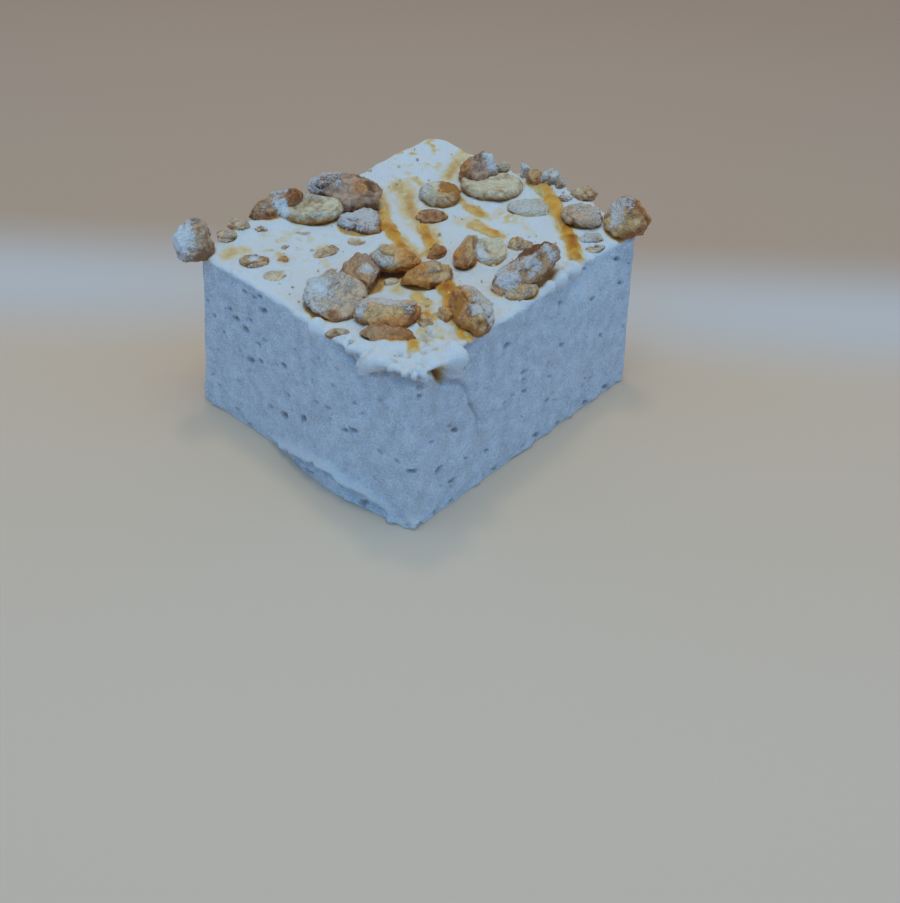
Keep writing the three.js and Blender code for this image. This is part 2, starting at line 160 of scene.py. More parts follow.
# %% [markdown]
# ## The block's form
#
# The square's sizes and its slow swellings are those of its solid: places on top are measured
# from the front corner, first along the long side, then along the short one. The walls lean in a
# little, because the foam sagged when it was cut. Each function here works on whole arrays.

# %% Sizes and the block's form
LONG = 63.2
SHORT = 55.4
HEIGHT = 31.5
CORNER_AT = -1.0
LEAN_FRONT, LEAN_BACK, LEAN_LEFT, LEAN_RIGHT = 1.9, 2.4, 1.5, 0.1
TOP_EDGE = 0.9
FOOT_EDGE = 0.5
FRONT_RADIUS, LEFT_RADIUS, RIGHT_RADIUS, BACK_RADIUS = 2.0, 2.2, 2.0, 5.0
LEAST_RADIUS = 0.4


def to_base(along, across):
    """Places from the front corner, as x and y from the middle of the base."""
    return along - CORNER_AT - LONG / 2, across - CORNER_AT - SHORT / 2


def from_base(x, y):
    """The other way round: x and y from the base's middle, as places from the front corner."""
    return x + CORNER_AT + LONG / 2, y + CORNER_AT + SHORT / 2


# One row is one swelling of the top, or a sag where its rise is negative: rise, then the middle
# and the spread of its bell along, and of its bell across.
TOP_SWELLINGS = [
    (2.8, 59, 14, 50, 12), (2.3, 64, 7, 20, 16), (1.5, 20, 15, 57, 8), (0.7, 4, 6, 4, 7),
    (-1.1, 48, 8, 0, 4),
]
TOP_RIPPLE = 0.18


def top_height(along, across):
    """The top: level, plus a product of two bells for each swelling, and a slow ripple."""
    height = HEIGHT
    for rise, middle_a, spread_a, middle_c, spread_c in TOP_SWELLINGS:
        height = height + rise * bell(along, middle_a, spread_a) * bell(across, middle_c, spread_c)
    return height + TOP_RIPPLE * ripple(along, across, 0)


def walls(along, across, z):
    """Where the four walls stand at height z: each leans in, and swells out by bells."""
    rise = np.clip(z / HEIGHT, 0, 1.1)
    foot = 0.2 * bell(z, 0, 2.2)
    left_out = (1.6 + 0.7 * (1 - rise)) * bell(across, 18, 11)
    front_out = 1.4 * bell(along, 3, 8) * bell(z, HEIGHT, 3) - 2.4 * bell(along, 48, 9) * bell(z, HEIGHT, 6)
    left = CORNER_AT + LEAN_LEFT * rise - left_out - foot * ripple(3 * across, z, 5)
    right = CORNER_AT + LONG - LEAN_RIGHT * rise + 1.3 * bell(across, 20, 14) * rise
    front = CORNER_AT + LEAN_FRONT * rise - front_out - foot * ripple(3 * along, z, 9)
    back_out = 2.6 * bell(along, 20, 15) + 1.3 * bell(along, 47, 9)
    back = CORNER_AT + SHORT - LEAN_BACK * rise + back_out * rise
    return left, right, front, back


def block_point(s, t, z, inset):
    """A point for shares s and t of the sides: stretched between the walls, its corners rounded."""
    left, right, front, back = walls(s * LONG, t * SHORT, z)
    half_x = (right - left) / 2 - inset
    half_y = (back - front) / 2 - inset
    x = (2 * s - 1) * half_x
    y = (2 * t - 1) * half_y
    near = np.where(y < 0, FRONT_RADIUS, LEFT_RADIUS)
    far = np.where(y < 0, RIGHT_RADIUS, BACK_RADIUS)
    radius = np.maximum(np.where(x < 0, near, far) - inset, LEAST_RADIUS)
    over_x = np.abs(x) - half_x + radius
    over_y = np.abs(y) - half_y + radius
    in_corner = (over_x > 0) & (over_y > 0)
    shrink = np.maximum(over_x, over_y) / np.maximum(np.hypot(over_x, over_y), 1e-9)
    x = np.where(in_corner, np.sign(x) * (half_x - radius + over_x * shrink), x)
    y = np.where(in_corner, np.sign(y) * (half_y - radius + over_y * shrink), y)
    return x + (left + right) / 2, y + (front + back) / 2


print("block:", LONG, "by", SHORT, "by", HEIGHT, "mm")

# %% [markdown]
# ## The toppings' places
#
# One row is one piece of nut, as in the solids: its middle, its lift over the top, its three
# sizes, three turns, and the planes where it was chopped. A second table says how each looks:
# how much powder and glaze it carries, and on which side. Sides are given as seen from the front
# corner: to the right, away, and up.

# %% The nuts, chips and strings of caramel
NUTS = {
    "nut_corner": (0.2, 53.1, 2.0, 7.6, 7.4, 9.4, -48, 0, 0,
                   [(-0.75, 0.5, 0.5, 0.66), (0.9, 0.1, 0.45, 0.8), (0, 0, -1, 0.5), (0, -0.7, 0.7, 0.8)]),
    "nut_long_half": (23.8, 48.3, 1.4, 12.2, 8.2, 5.0, -47, 2, 8, [(0, 0, 1, 0.5), (0, 0, -1, 0.55)]),
    "nut_brown_shard": (19.2, 52.7, 1.4, 11.2, 5.0, 5.2, -16, 10, 0,
                        [(-0.3, -0.9, 0.35, 0.6), (0, 0, 1, 0.66), (0, 0, -1, 0.5)]),
    "nut_dark_whole": (31.6, 47.2, 2.2, 16.0, 8.6, 7.2, -66, 2, 0,
                       [(0.1, -0.8, 0.6, 0.72), (0, 0, -1, 0.55), (-0.5, -0.8, 0.2, 0.72)]),
    "nut_wedge": (27.4, 38.8, 0.9, 9.0, 8.0, 4.6, -50, 0, 6,
                  [(-0.45, -0.9, 0.1, 0.46), (0.95, 0, 0.3, 0.74), (0, 0.1, 1, 0.5), (-0.6, 0.8, 0, 0.7)]),
    "nut_round_half": (5.7, 23.5, 1.9, 10.6, 11.0, 4.6, -50, 0, 24,
                       [(0, 0, 1, 0.42), (0, 0, -1, 0.6), (-0.6, 0.8, 0, 0.8)]),
    "nut_propped": (20.9, 24.1, 2.6, 9.4, 5.8, 4.2, -52, -6, 8,
                    [(0, 0, -1, 0.45), (-0.9, 0.3, 0.2, 0.82), (0.6, 0.76, 0.2, 0.6)]),
    "nut_folded": (14.5, 25.6, 1.6, 9.4, 8.6, 5.6, -124, -6, 0,
                   [(0.6, 0.8, 0, 0.56), (0.6, -0.8, 0, 0.56), (0, 0.6, 0.8, 0.62), (0, -0.75, 0.66, 0.5),
                    (0, 0, -1, 0.5)]),
    "nut_glazed_half": (22.1, 17.6, 1.3, 9.8, 5.8, 4.4, -24, 0, 0,
                        [(0, 0, -1, 0.55), (0.2, -0.75, 0.6, 0.78), (-0.6, 0.76, 0.2, 0.68)]),
    "nut_front_half": (8.7, 14.2, 1.7, 10.8, 8.0, 5.4, -50, 0, 0,
                       [(0, 0, -1, 0.5), (0, 0.5, 0.86, 0.6), (0, -0.8, 0.6, 0.66)]),
    "nut_under": (4.4, 10.0, 0.6, 8.8, 4.0, 3.6, -50, -4, 0, [(0, 0, -1, 0.6), (0, -0.8, 0.6, 0.66)]),
    "nut_edge_whole": (18.9, 4.7, 1.8, 12.6, 7.0, 6.8, 58, 0, 0, [(0, 0, -1, 0.5), (0.2, -0.6, 0.77, 0.86)]),
    "nut_crescent": (33.2, 17.7, 1.4, 9.8, 4.8, 5.2, 24, 0, 0, [(0.2, -0.9, 0.35, 0.5), (0, 0, -1, 0.5)]),
    "nut_plate": (36.5, 15.4, 1.1, 6.2, 7.8, 3.8, -44, 4, 14,
                  [(0.1, 0, 1, 0.45), (0, -0.9, 0.4, 0.76), (0, 0, -1, 0.6)]),
    "nut_powdered_long": (34.2, 5.7, 2.3, 15.6, 6.8, 6.6, -6, 14, 0,
                          [(0, 0, -1, 0.5), (0, 0.45, 0.9, 0.66), (0, -0.8, 0.6, 0.8)]),
    "nut_powdered_lobe": (30.3, 3.1, 0.9, 6.2, 3.4, 3.2, -20, 0, 0, [(0, 0, -1, 0.6)]),
    "nut_right_oval": (57.5, 11.1, 1.0, 8.2, 7.0, 3.8, -62, -2, 0, [(0, 0, 1, 0.55), (0, 0, -1, 0.6)]),
    "nut_right_corner": (60.8, 3.2, 2.3, 8.4, 8.0, 7.8, -50, 0, 0,
                         [(-0.85, -0.3, 0.45, 0.62), (0, 0, -1, 0.55), (0.8, 0.2, 0.6, 0.84)]),
    "nut_flat_pale": (54.6, 20.8, 0.4, 8.8, 6.2, 2.8, -58, 0, 0, [(0, 0, 1, 0.5), (0, -0.9, 0.3, 0.76)]),
    "nut_back_half": (55.2, 30.8, 0.9, 12.4, 9.4, 4.0, -52, 0, 0, [(0, 0, 1, 0.5), (0, 0, -1, 0.6)]),
    "nut_back_edge": (56.2, 35.2, 2.2, 8.0, 6.8, 7.0, -30, 10, 0,
                      [(0.3, -0.85, 0.4, 0.62), (0, 0, -1, 0.5), (-0.5, 0, 0.86, 0.8)]),
    "nut_drizzled": (45.5, 35.5, 1.1, 8.0, 7.8, 4.6, -56, 0, 0, [(0, 0, 1, 0.55), (0, 0, -1, 0.6)]),
    "nut_sunken": (39.3, 31.9, 0.1, 6.4, 4.8, 2.8, -42, 0, 0, [(0, 0, 1, 0.5)]),
}

# One row is how one nut looks: slot, powder, its side, glaze, its side, hollow of the flat
# face in mm, and how many broken faces it has besides its cuts.
NUT_LOOKS = {
    "nut_corner": ("peanut_floury", 0.50, (-0.5, 0, 0.1), 0.0, (0, 0, 0), 0.0, 9),
    "nut_long_half": ("peanut_pale", 0.30, (-0.1, 0, 0.1), 0.0, (0, -0.2, -0.3), 0.5, 4),
    "nut_brown_shard": ("peanut_brown", 0.34, (0.1, -0.1, 0.3), 0.3, (0.5, 0, 0), 0.5, 8),
    "nut_dark_whole": ("peanut_grey", 0.28, (-0.4, 0.3, 0.2), 0.0, (0.45, 0, 0), 0.0, 7),
    "nut_wedge": ("peanut_grey", 0.68, (-0.1, 0, 0.1), 0.0, (0.7, 0, -0.3), 0.2, 8),
    "nut_round_half": ("peanut_floury", 0.38, (-0.2, 0, 0.1), 0.1, (0, 0, -0.4), 0.3, 5),
    "nut_propped": ("peanut_tan", 0.30, (-0.3, -0.1, 0), 0.2, (0.6, 0.1, 0.2), 0.0, 6),
    "nut_folded": ("peanut_brown", 0.32, (0.1, 0, 0), 0.1, (0, 0, -0.4), 0.0, 5),
    "nut_glazed_half": ("peanut_tan", 0.26, (0, 0, 0.2), 0.40, (-0.5, -0.2, 0), 0.0, 6),
    "nut_front_half": ("peanut_tan", 0.28, (-0.1, 0.3, 0.2), 0.2, (0.6, -0.2, -0.4), 0.0, 6),
    "nut_under": ("peanut_brown", 0.04, (-0.2, 0, 0.1), 0.5, (0.3, -0.2, -0.1), 0.0, 6),
    "nut_edge_whole": ("peanut_tan", 0.34, (0.3, -0.1, 0.1), 0.3, (-0.9, 0, -0.3), 0.0, 5),
    "nut_crescent": ("peanut_tan", 0.26, (0, 0.2, 0.2), 0.4, (-0.2, -0.2, -0.2), 0.0, 6),
    "nut_plate": ("peanut_pale", 0.42, (-0.4, 0, 0), 0.0, (0, -0.2, -0.3), 0.5, 6),
    "nut_powdered_long": ("peanut_brown", 0.48, (-0.1, -0.2, 0.1), 0.15, (0, 0, 0), 0.0, 8),
    "nut_powdered_lobe": ("peanut_tan", 0.38, (0, 0, 0.1), 0.1, (0, 0, 0), 0.0, 4),
    "nut_right_oval": ("peanut_floury", 0.42, (0.1, 0, 0.1), 0.1, (-0.4, 0, -0.3), 0.2, 6),
    "nut_right_corner": ("peanut_tan", 0.36, (-0.2, 0.1, 0.3), 0.3, (0.5, 0.2, 0), 0.0, 7),
    "nut_flat_pale": ("peanut_pale", 0.60, (0, 0, 0), 0.0, (0, 0, -0.3), 0.2, 7),
    "nut_back_half": ("peanut_pale", 0.16, (0.1, 0, 0), 0.0, (0, 0, -0.2), 0.3, 3),
    "nut_back_edge": ("peanut_grey", 0.44, (0.3, 0, 0.1), 0.1, (-0.9, 0, 0), 0.0, 8),
    "nut_drizzled": ("peanut_pale", 0.26, (-0.3, 0, 0), 0.2, (0.6, 0, 0.2), 0.3, 4),
    "nut_sunken": ("peanut_brown", 0.06, (0, 0, 0), 0.25, (0, 0, 0), 0.0, 6),
}

# One row is one chip that is stuck fast: along, across, lift, three sizes, yaw, cuts, and how
# roasted it is, its powder and its glaze.
CHIPS = [
    (10.9, 54.0, 0.2, 4.4, 3.6, 2.6, -45, [(0, 0, 1, 0.6)], 0.35, 0.35, 0.2),
    (7.0, 52.6, 0.2, 4.6, 3.6, 2.8, -20, [(0, 0, 1, 0.6)], 0.35, 0.35, 0.2),
    (13.6, 50.6, 0.0, 2.8, 1.6, 1.6, -50, [], 0.2, 0.5, 0.0),
    (5.3, 43.1, 0.1, 5.9, 4.4, 2.6, -32, [(0, 0, 1, 0.5), (-0.9, -0.4, 0, 0.75)], 0.8, 0.4, 0.3),
    (9.6, 40.3, 0.0, 3.0, 2.8, 1.6, -45, [], 0.6, 0.2, 0.7),
    (4.8, 37.2, 0.0, 4.8, 3.6, 1.8, -40, [(0, 0, 1, 0.5)], 0.1, 0.4, 0.1),
    (16.8, 36.9, 0.0, 6.2, 3.4, 2.0, -6, [(0, 0, 1, 0.5)], 0.6, 0.4, 0.2),
    (23.0, 35.5, 0.0, 4.2, 2.8, 1.6, -52, [], 0.1, 0.4, 0.2),
    (0.6, 16.9, -0.2, 4.8, 2.6, 2.0, -46, [], 0.4, 0.4, 0.1),
    (17.6, 21.6, 0.0, 3.6, 2.4, 1.8, -26, [], 0.4, 0.5, 0.1),
    (29.8, 22.4, 0.6, 5.0, 3.4, 3.4, 0, [(-0.6, 0.2, 0.7, 0.6)], 0.8, 0.2, 0.8),
    (16.4, 7.3, 0.9, 4.8, 3.8, 3.8, -50, [(0, 0, 1, 0.45), (0.6, -0.8, 0, 0.6)], 0.3, 0.2, 0.2),
    (11.6, 9.0, 0.3, 3.8, 2.8, 2.6, -45, [], 0.5, 0.3, 0.5),
    (42.6, 13.4, 0.5, 4.6, 3.6, 3.2, -30, [(-0.5, -0.4, 0.75, 0.6)], 0.5, 0.4, 0.3),
    (54.0, 6.0, 0.3, 6.4, 2.8, 2.2, -32, [(0, 0, 1, 0.5)], 0.4, 0.55, 0.0),
    (52.6, 3.9, -0.2, 5.2, 2.4, 2.0, -26, [(0, 0, 1, 0.5)], 0.4, 0.55, 0.0),
    (61.4, 33.2, 1.0, 3.2, 2.4, 3.0, -40, [(0, 0, 1, 0.7)], 0.1, 0.4, 0.1),
    (62.2, 28.2, 1.2, 2.4, 2.2, 3.8, -50, [(0.7, 0, 0.7, 0.7)], 0.1, 0.9, 0.0),
    (61.4, 25.2, 0.9, 3.6, 3.2, 3.4, -40, [(0, -0.6, 0.8, 0.6)], 0.7, 0.3, 0.6),
    (62.8, 22.6, 1.3, 4.0, 3.4, 4.2, -30, [(0.3, 0.3, 0.9, 0.7)], 0.3, 0.8, 0.0),
    (63.0, 20.4, 0.7, 2.6, 3.0, 3.0, -60, [], 0.3, 0.7, 0.0),
    (63.0, 14.4, 0.8, 5.0, 3.4, 3.2, -62, [(0, -0.4, 0.9, 0.6)], 0.5, 0.4, 0.4),
    (60.6, 17.0, 0.1, 3.8, 2.2, 1.4, -52, [], 0.4, 0.4, 0.2),
    (12.9, 43.4, 0.0, 2.6, 1.8, 1.0, 10, [], 0.3, 0.4, 0.1),
    (18.2, 44.6, 0.0, 3.4, 2.0, 1.0, -45, [], 0.3, 0.4, 0.1),
]

# One row is one string or blob of thick caramel: width, height of its arch, and places along it.
# The first nine are as in the solids, and the others are thinner pools.
STRINGS = [
    (2.6, 0.95, [(62.0, 24.4), (59.0, 19.8), (55.6, 14.6), (52.5, 10.1), (49.7, 6.6), (47.0, 4.0)]),
    (2.4, 0.80, [(37.4, 43.6), (33.0, 38.2), (30.3, 34.0), (28.1, 29.6), (26.4, 26.2)]),
    (2.2, 0.75, [(36.3, 32.0), (33.4, 27.8), (31.2, 24.6)]),
    (3.2, 1.20, [(24.9, 16.7), (23.0, 13.8), (21.2, 11.0)]),
    (2.4, 0.90, [(22.1, 13.0), (19.4, 9.5), (17.0, 6.0), (15.2, 3.2)]),
    (2.0, 0.80, [(46.9, 30.0), (46.9, 27.6), (46.8, 25.6)]),
    (2.2, 0.70, [(42.6, 24.8), (42.9, 21.8), (43.2, 18.6)]),
    (2.2, 0.80, [(12.4, 12.6), (13.6, 11.0), (14.6, 9.4)]),
    (1.8, 0.80, [(7.0, 7.4), (6.2, 6.0), (4.9, 4.6)]),
    (2.0, 0.60, [(16.6, 7.8), (15.4, 4.6), (14.2, 1.6), (13.8, 0.2)]),
    (2.2, 0.55, [(18.8, 16.6), (17.2, 15.2), (17.6, 13.4)]),
    (2.0, 0.55, [(34.6, 42.6), (36.4, 42.2), (37.6, 44.4)]),
    (1.6, 0.50, [(59.6, 22.0), (60.4, 24.0), (60.6, 25.8)]),
    (2.8, 1.10, [(49.4, 6.4), (48.0, 5.0), (46.8, 3.6)]),
]

# One row is one run of thin caramel that soaked in: width, strength, and places along it.
RUNS = [
    (4.6, 0.75, [(43.5, 44.5), (42.5, 41.5), (39.8, 38.2), (37.4, 34.6), (36.0, 30.5), (33.6, 26.8)]),
    (3.4, 0.90, [(38.6, 45.6), (35.0, 40.8), (32.2, 37.0), (30.0, 33.4), (28.6, 29.4), (27.4, 25.0)]),
    (3.0, 0.80, [(27.6, 24.2), (30.6, 24.4), (33.6, 25.6)]),
    (1.6, 0.70, [(47.3, 44.0), (47.0, 41.2)]),
    # This run is the gap under nut_propped: caramel there, with its deep shade painted in as brown.
    (4.4, 1.9, [(22.4, 21.8), (19.8, 22.8), (18.2, 24.8)]),
    (2.2, 0.85, [(48.4, 34.0), (47.6, 31.0), (48.0, 28.0), (47.6, 26.2)]),
    (3.0, 0.45, [(41.5, 27.5), (44.5, 27.0), (46.5, 26.0)]),
    (2.2, 0.80, [(44.4, 25.2), (43.4, 22.2), (43.6, 19.4)]),
    (2.6, 0.55, [(63.4, 28.4), (61.0, 24.6), (59.4, 20.6), (58.4, 17.6)]),
    (3.0, 0.75, [(52.6, 39.6), (56.4, 41.2), (61.2, 43.0)]),
    (2.8, 0.70, [(3.6, 48.2), (5.4, 49.2), (7.0, 47.8)]),
    (2.2, 0.60, [(9.2, 40.0), (10.4, 42.2)]),
    (2.4, 0.50, [(14.6, 37.0), (17.6, 39.0)]),
    (1.6, 0.45, [(13.8, 33.6), (14.8, 35.8)]),
    (2.6, 0.85, [(24.5, 15.8), (22.4, 12.8), (19.8, 10.8), (18.6, 7.6), (17.4, 3.8), (16.2, 0.8)]),
    (3.0, 0.80, [(16.0, 12.6), (14.4, 10.6), (13.4, 9.0)]),
    (2.2, 0.80, [(7.8, 9.6), (6.8, 7.4), (6.0, 5.6)]),
    (2.4, 0.40, [(12.4, 6.6), (11.2, 4.2), (12.8, 2.6)]),
    (2.0, 0.35, [(48.4, 24.0), (50.8, 25.2)]),
    (2.8, 0.30, [(48.6, 16.0), (50.4, 19.4)]),
    (2.0, 0.35, [(13.4, 45.6), (16.8, 45.4), (19.6, 46.6)]),
    (3.4, 0.55, [(16.5, 19.5), (19.5, 18.5), (21.5, 17.8)]),
]

# One row is one patch of fine yellow specks: along, across, two sizes, yaw, strength.
STAINS = [
    (54.0, 48.0, 18.0, 12.0, 0, 0.55),
    (46.0, 46.0, 8.0, 6.0, 0, 0.35),
    (49.0, 24.0, 12.0, 9.0, -40, 0.40),
    (10.0, 7.0, 14.0, 10.0, -50, 0.40),
    (12.0, 44.0, 20.0, 12.0, -30, 0.35),
    (24.0, 12.0, 12.0, 10.0, 0, 0.30),
    (57.0, 6.0, 9.0, 6.0, 0, 0.50),
    (1.6, 1.0, 3.4, 3.4, 0, 0.50),
]

# One row is one spot on the toppings where the look changes: along, across, radius, and what it
# adds to the powder, the glaze and the roast.
SPOTS = [
    (18.9, 50.5, 1.4, 1.5, -0.6, -0.5), (21.6, 50.7, 1.6, -0.9, 0.3, 0.5), (28.5, 50.0, 2.2, -0.1, 0.0, 0.5),
    (31.7, 43.6, 2.0, -0.8, 0.5, -0.8), (33.4, 42.8, 1.3, -0.4, 0.2, 1.0), (4.3, 25.9, 1.6, 0.6, 0.0, -0.2),
    (0.8, 20.0, 1.4, 0.5, 0.0, -0.2), (6.2, 29.6, 1.6, 0.3, 0.0, 0.0), (14.2, 24.4, 1.4, 0.8, 0.0, -0.2),
    (20.2, 28.2, 1.5, 0.6, -0.4, 0.1), (20.6, 20.0, 2.2, -0.5, 0.4, -0.2),
    (18.0, 15.7, 2.0, -0.7, 0.25, -0.8),
    (5.4, 12.9, 2.6, -0.9, 0.4, 0.1), (8.6, 14.6, 2.0, 0.3, -0.3, -0.2), (4.5, 15.8, 1.6, 0.4, -0.2, 0.0),
    (10.6, 10.4, 1.7, 0.2, -0.2, 0.6), (16.9, 1.8, 2.4, 0.3, -0.3, 0.0), (16.6, 6.4, 2.2, -0.5, 0.5, 0.2),
    (14.3, 0.5, 1.8, -0.4, 0.5, 0.2), (34.5, 15.7, 1.5, 0.6, 0.0, -0.2), (38.5, 17.0, 2.0, -0.2, -0.2, -0.3),
    (36.2, 7.0, 2.2, -0.3, 0.0, 1.1), (39.1, 6.5, 1.9, -0.3, 0.0, 1.1), (57.7, 4.0, 2.1, 0.5, -0.6, -0.8),
    (60.2, 2.4, 2.6, -0.2, -0.3, 1.1), (5.6, 43.5, 0.9, 0.9, -0.3, -0.6), (42.7, 15.4, 1.3, -0.4, 0.8, 0.2),
    (-2.2, 52.6, 2.2, 0.6, 0.0, -0.5), (1.6, 53.8, 2.4, -0.2, 0.0, 0.6), (48.0, 34.4, 2.6, -0.6, 0.6, 1.2),
    (55.2, 34.8, 2.4, -0.7, 0.0, -0.1), (57.4, 34.0, 1.5, 0.5, -0.3, -0.2), (0.8, 50.2, 2.2, -0.4, 0.0, 0.5),
    (2.6, 20.6, 1.4, -0.6, 0.4, 0.7), (9.4, 26.6, 1.3, -0.3, 0.1, 0.4), (34.2, 5.2, 1.6, 0.4, -0.2, -0.2),
    (19.3, 22.5, 1.8, 0.2, 0.0, -0.4), (20.4, 6.8, 1.6, 0.3, -0.3, 0.2), (30.2, 18.0, 1.5, -0.2, 0.3, -0.2),
    (23.8, 48.3, 3.6, 0.0, 0.0, 0.3), (2.4, 52.6, 1.6, 0.3, 0.0, -0.2), (11.4, 21.6, 1.6, -0.3, 0.1, -0.4),
    (27.6, 5.6, 2.2, 0.1, 0.0, -0.6), (38.9, 4.9, 1.2, 0.4, 0.0, -0.3), (39.0, 31.2, 3.0, -0.2, 0.1, 0.4),
]
print("nuts:", len(NUTS), "chips:", len(CHIPS), "strings:", len(STRINGS), "stains:", len(STAINS))

# %% [markdown]
# ## The cut foam
#
# The block could be sculpted from a subdivided box, but then its relief would be hard to repeat.
# Here it is one surface on a lattice: the top is a grid, and its rim is carried down the walls
# row by row, and in to the middle of the base. Relief is added afterwards along the normals. The
# knife tore bubbles open all over the walls, so each bubble that shows gets a row of its own, and
# smaller ones are strewn by a seeded draw.

# %% The block's smooth surface
TOP_CELL = 0.42
WALL_CELL = 0.35

shares_x = np.linspace(0, 1, round(LONG / TOP_CELL) + 1)
shares_y = np.linspace(0, 1, round(SHORT / TOP_CELL) + 1)
grid_x, grid_y = np.meshgrid(shares_x, shares_y, indexing="ij")
top_along, top_across = block_point(grid_x, grid_y, HEIGHT, TOP_EDGE)
top_points = np.stack([*to_base(top_along, top_across), top_height(top_along, top_across)], -1).reshape(-1, 3)
top_index = np.arange(len(top_points)).reshape(grid_x.shape)
top_faces = grid_faces(top_index)

rim_index = np.concatenate([top_index[1:, 0], top_index[-1, 1:], top_index[-2::-1, -1], top_index[0, -2::-1]])
rim_s = grid_x.ravel()[rim_index]
rim_t = grid_y.ravel()[rim_index]
rim_height = top_height(*block_point(rim_s, rim_t, HEIGHT, TOP_EDGE))

edge_turn = np.radians([72, 54, 36, 18, 0])
wall_depth = np.linspace(TOP_EDGE, HEIGHT - FOOT_EDGE, round(HEIGHT / WALL_CELL))[1:]
depths = np.concatenate([TOP_EDGE * (1 - np.sin(edge_turn)), wall_depth, [HEIGHT - 0.2, HEIGHT]])
insets = np.concatenate([TOP_EDGE * (1 - np.cos(edge_turn)), 0 * wall_depth, [0.1, FOOT_EDGE]])
level = rim_height[None, :] * (1 - depths[:, None] / HEIGHT)
wall_along, wall_across = block_point(rim_s[None, :], rim_t[None, :], level, insets[:, None])
wall_points = np.stack([*to_base(wall_along, wall_across), level], -1).reshape(-1, 3)
wall_index = np.arange(len(wall_points)).reshape(level.shape) + len(top_points)
around = np.vstack([rim_index, wall_index])
around = np.column_stack([around, around[:, 0]])
wall_faces = grid_faces(around)

base_index = len(top_points) + len(wall_points)
foot = around[-1]
base_middle = np.full(len(foot) - 1, base_index)
base_faces = np.stack([foot[:-1], base_middle, foot[1:], foot[1:]], -1)
block_points = np.vstack([top_points, wall_points, [[0, 0, 0]]])
block_faces = np.vstack([top_faces, wall_faces, base_faces])
block_normals = surface_normals(block_points, block_faces)
print("block:", len(block_points), "points,", len(block_faces), "faces")

# %% [markdown]
# ## Torn bubbles, the crease and the torn lip
#
# Relief on the walls is measured in the wall's own plane: how far along it, and how high. A
# bubble is an ellipse pressed in, deepest in its middle. The tear at the front corner is the
# distance to a line of a few places, pressed in as a groove that fades downwards and opens to a
# wedge at its top.

# %% Bubbles listed one by one and by draw
# One row is one open bubble on the left wall: across, height, length.
LEFT_BUBBLES = [
    (36.5, 30.0, 1.4), (38.0, 29.2, 1.2), (40.3, 29.3, 1.2), (35.5, 27.7, 1.8), (39.3, 24.0, 1.2),
    (44.5, 24.0, 1.4), (43.0, 22.7, 1.8), (40.6, 21.5, 1.7), (50.8, 22.9, 1.2), (49.0, 20.6, 1.2),
    (37.0, 20.2, 1.2), (30.2, 19.2, 1.7), (26.0, 18.0, 1.0), (20.5, 17.3, 1.3), (17.5, 17.7, 1.1),
    (36.5, 17.0, 1.4), (39.3, 15.7, 2.2), (29.0, 13.7, 1.2), (24.5, 11.3, 2.2), (30.0, 8.8, 2.4),
    (34.0, 8.4, 1.3), (48.7, 5.5, 1.2), (43.7, 2.6, 1.4), (12.0, 15.7, 1.7), (13.6, 14.9, 1.3),
    (16.5, 22.7, 1.0), (12.0, 21.2, 1.0), (7.0, 24.0, 0.9), (6.5, 13.8, 1.1), (0.2, 12.4, 1.6),
    (3.0, 13.6, 1.2), (9.5, 28.7, 2.4), (46.5, 18.2, 1.1), (9.5, 1.0, 2.0), (22.5, 1.0, 2.2),
    (33.5, 0.6, 1.6), (40.5, 0.5, 1.5),
]
# One row is one open bubble on the front wall: along, height, length.
FRONT_BUBBLES = [
    (1.5, 28.6, 1.1), (2.0, 26.8, 1.3), (4.7, 16.0, 1.1), (9.0, 17.0, 1.2), (10.4, 15.4, 1.8),
    (6.3, 9.4, 2.0), (9.5, 5.0, 1.9), (24.0, 25.7, 2.0), (39.5, 26.8, 1.3), (39.6, 18.3, 1.4),
    (28.7, 18.0, 1.5), (49.0, 23.5, 1.3), (48.5, 29.3, 1.2), (57.5, 23.3, 1.6), (56.5, 28.5, 1.8),
    (36.3, 13.2, 1.2), (29.3, 13.5, 1.4), (36.0, 8.0, 1.5), (13.0, 8.0, 1.0), (19.0, 6.0, 1.3),
    (33.2, 1.6, 2.0), (0.0, 12.4, 1.8), (52.0, 14.5, 1.2), (1.0, 0.6, 1.6), (5.0, 0.5, 1.2),
    (9.2, 0.6, 1.3), (21.0, 0.7, 1.5), (40.0, 0.5, 1.4), (48.5, 0.8, 2.2), (55.0, 1.2, 2.0),
]
# The tear: places of its line on the front wall, as along and height, from the rim down.
TEAR = np.array([
    (3.0, 32.6), (5.0, 30.4), (6.5, 28.4), (8.0, 26.5), (9.6, 25.6), (11.5, 24.6), (13.0, 23.0),
    (14.0, 21.0), (14.4, 18.6), (15.3, 17.0), (16.2, 15.4), (16.0, 12.6), (16.8, 10.0), (17.2, 7.0),
])
WEDGE_END = 0.26
SMALL_BUBBLES = 110
BUBBLE_DEPTH, TEAR_DEPTH, UNDER_LIP_DEPTH = 0.7, 1.5, 0.8
LUMP_SHARE = 0.8

# One row is one lump on the rim: along, across, height, radius.
LUMPS = [
    (36.4, 1.2, 31.4, 1.4), (40.0, 1.4, 31.5, 2.5), (42.4, 2.6, 31.4, 1.4), (45.4, 2.4, 30.8, 2.2),
    (50.2, 2.6, 30.6, 1.0), (0.0, 21.6, 30.9, 1.6), (-0.4, 26.6, 31.3, 1.0), (0.3, 36.4, 31.9, 1.1),
    (0.4, 43.0, 32.2, 1.4), (0.3, 8.4, 30.4, 2.0), (9.0, 0.8, 30.8, 1.7),
]


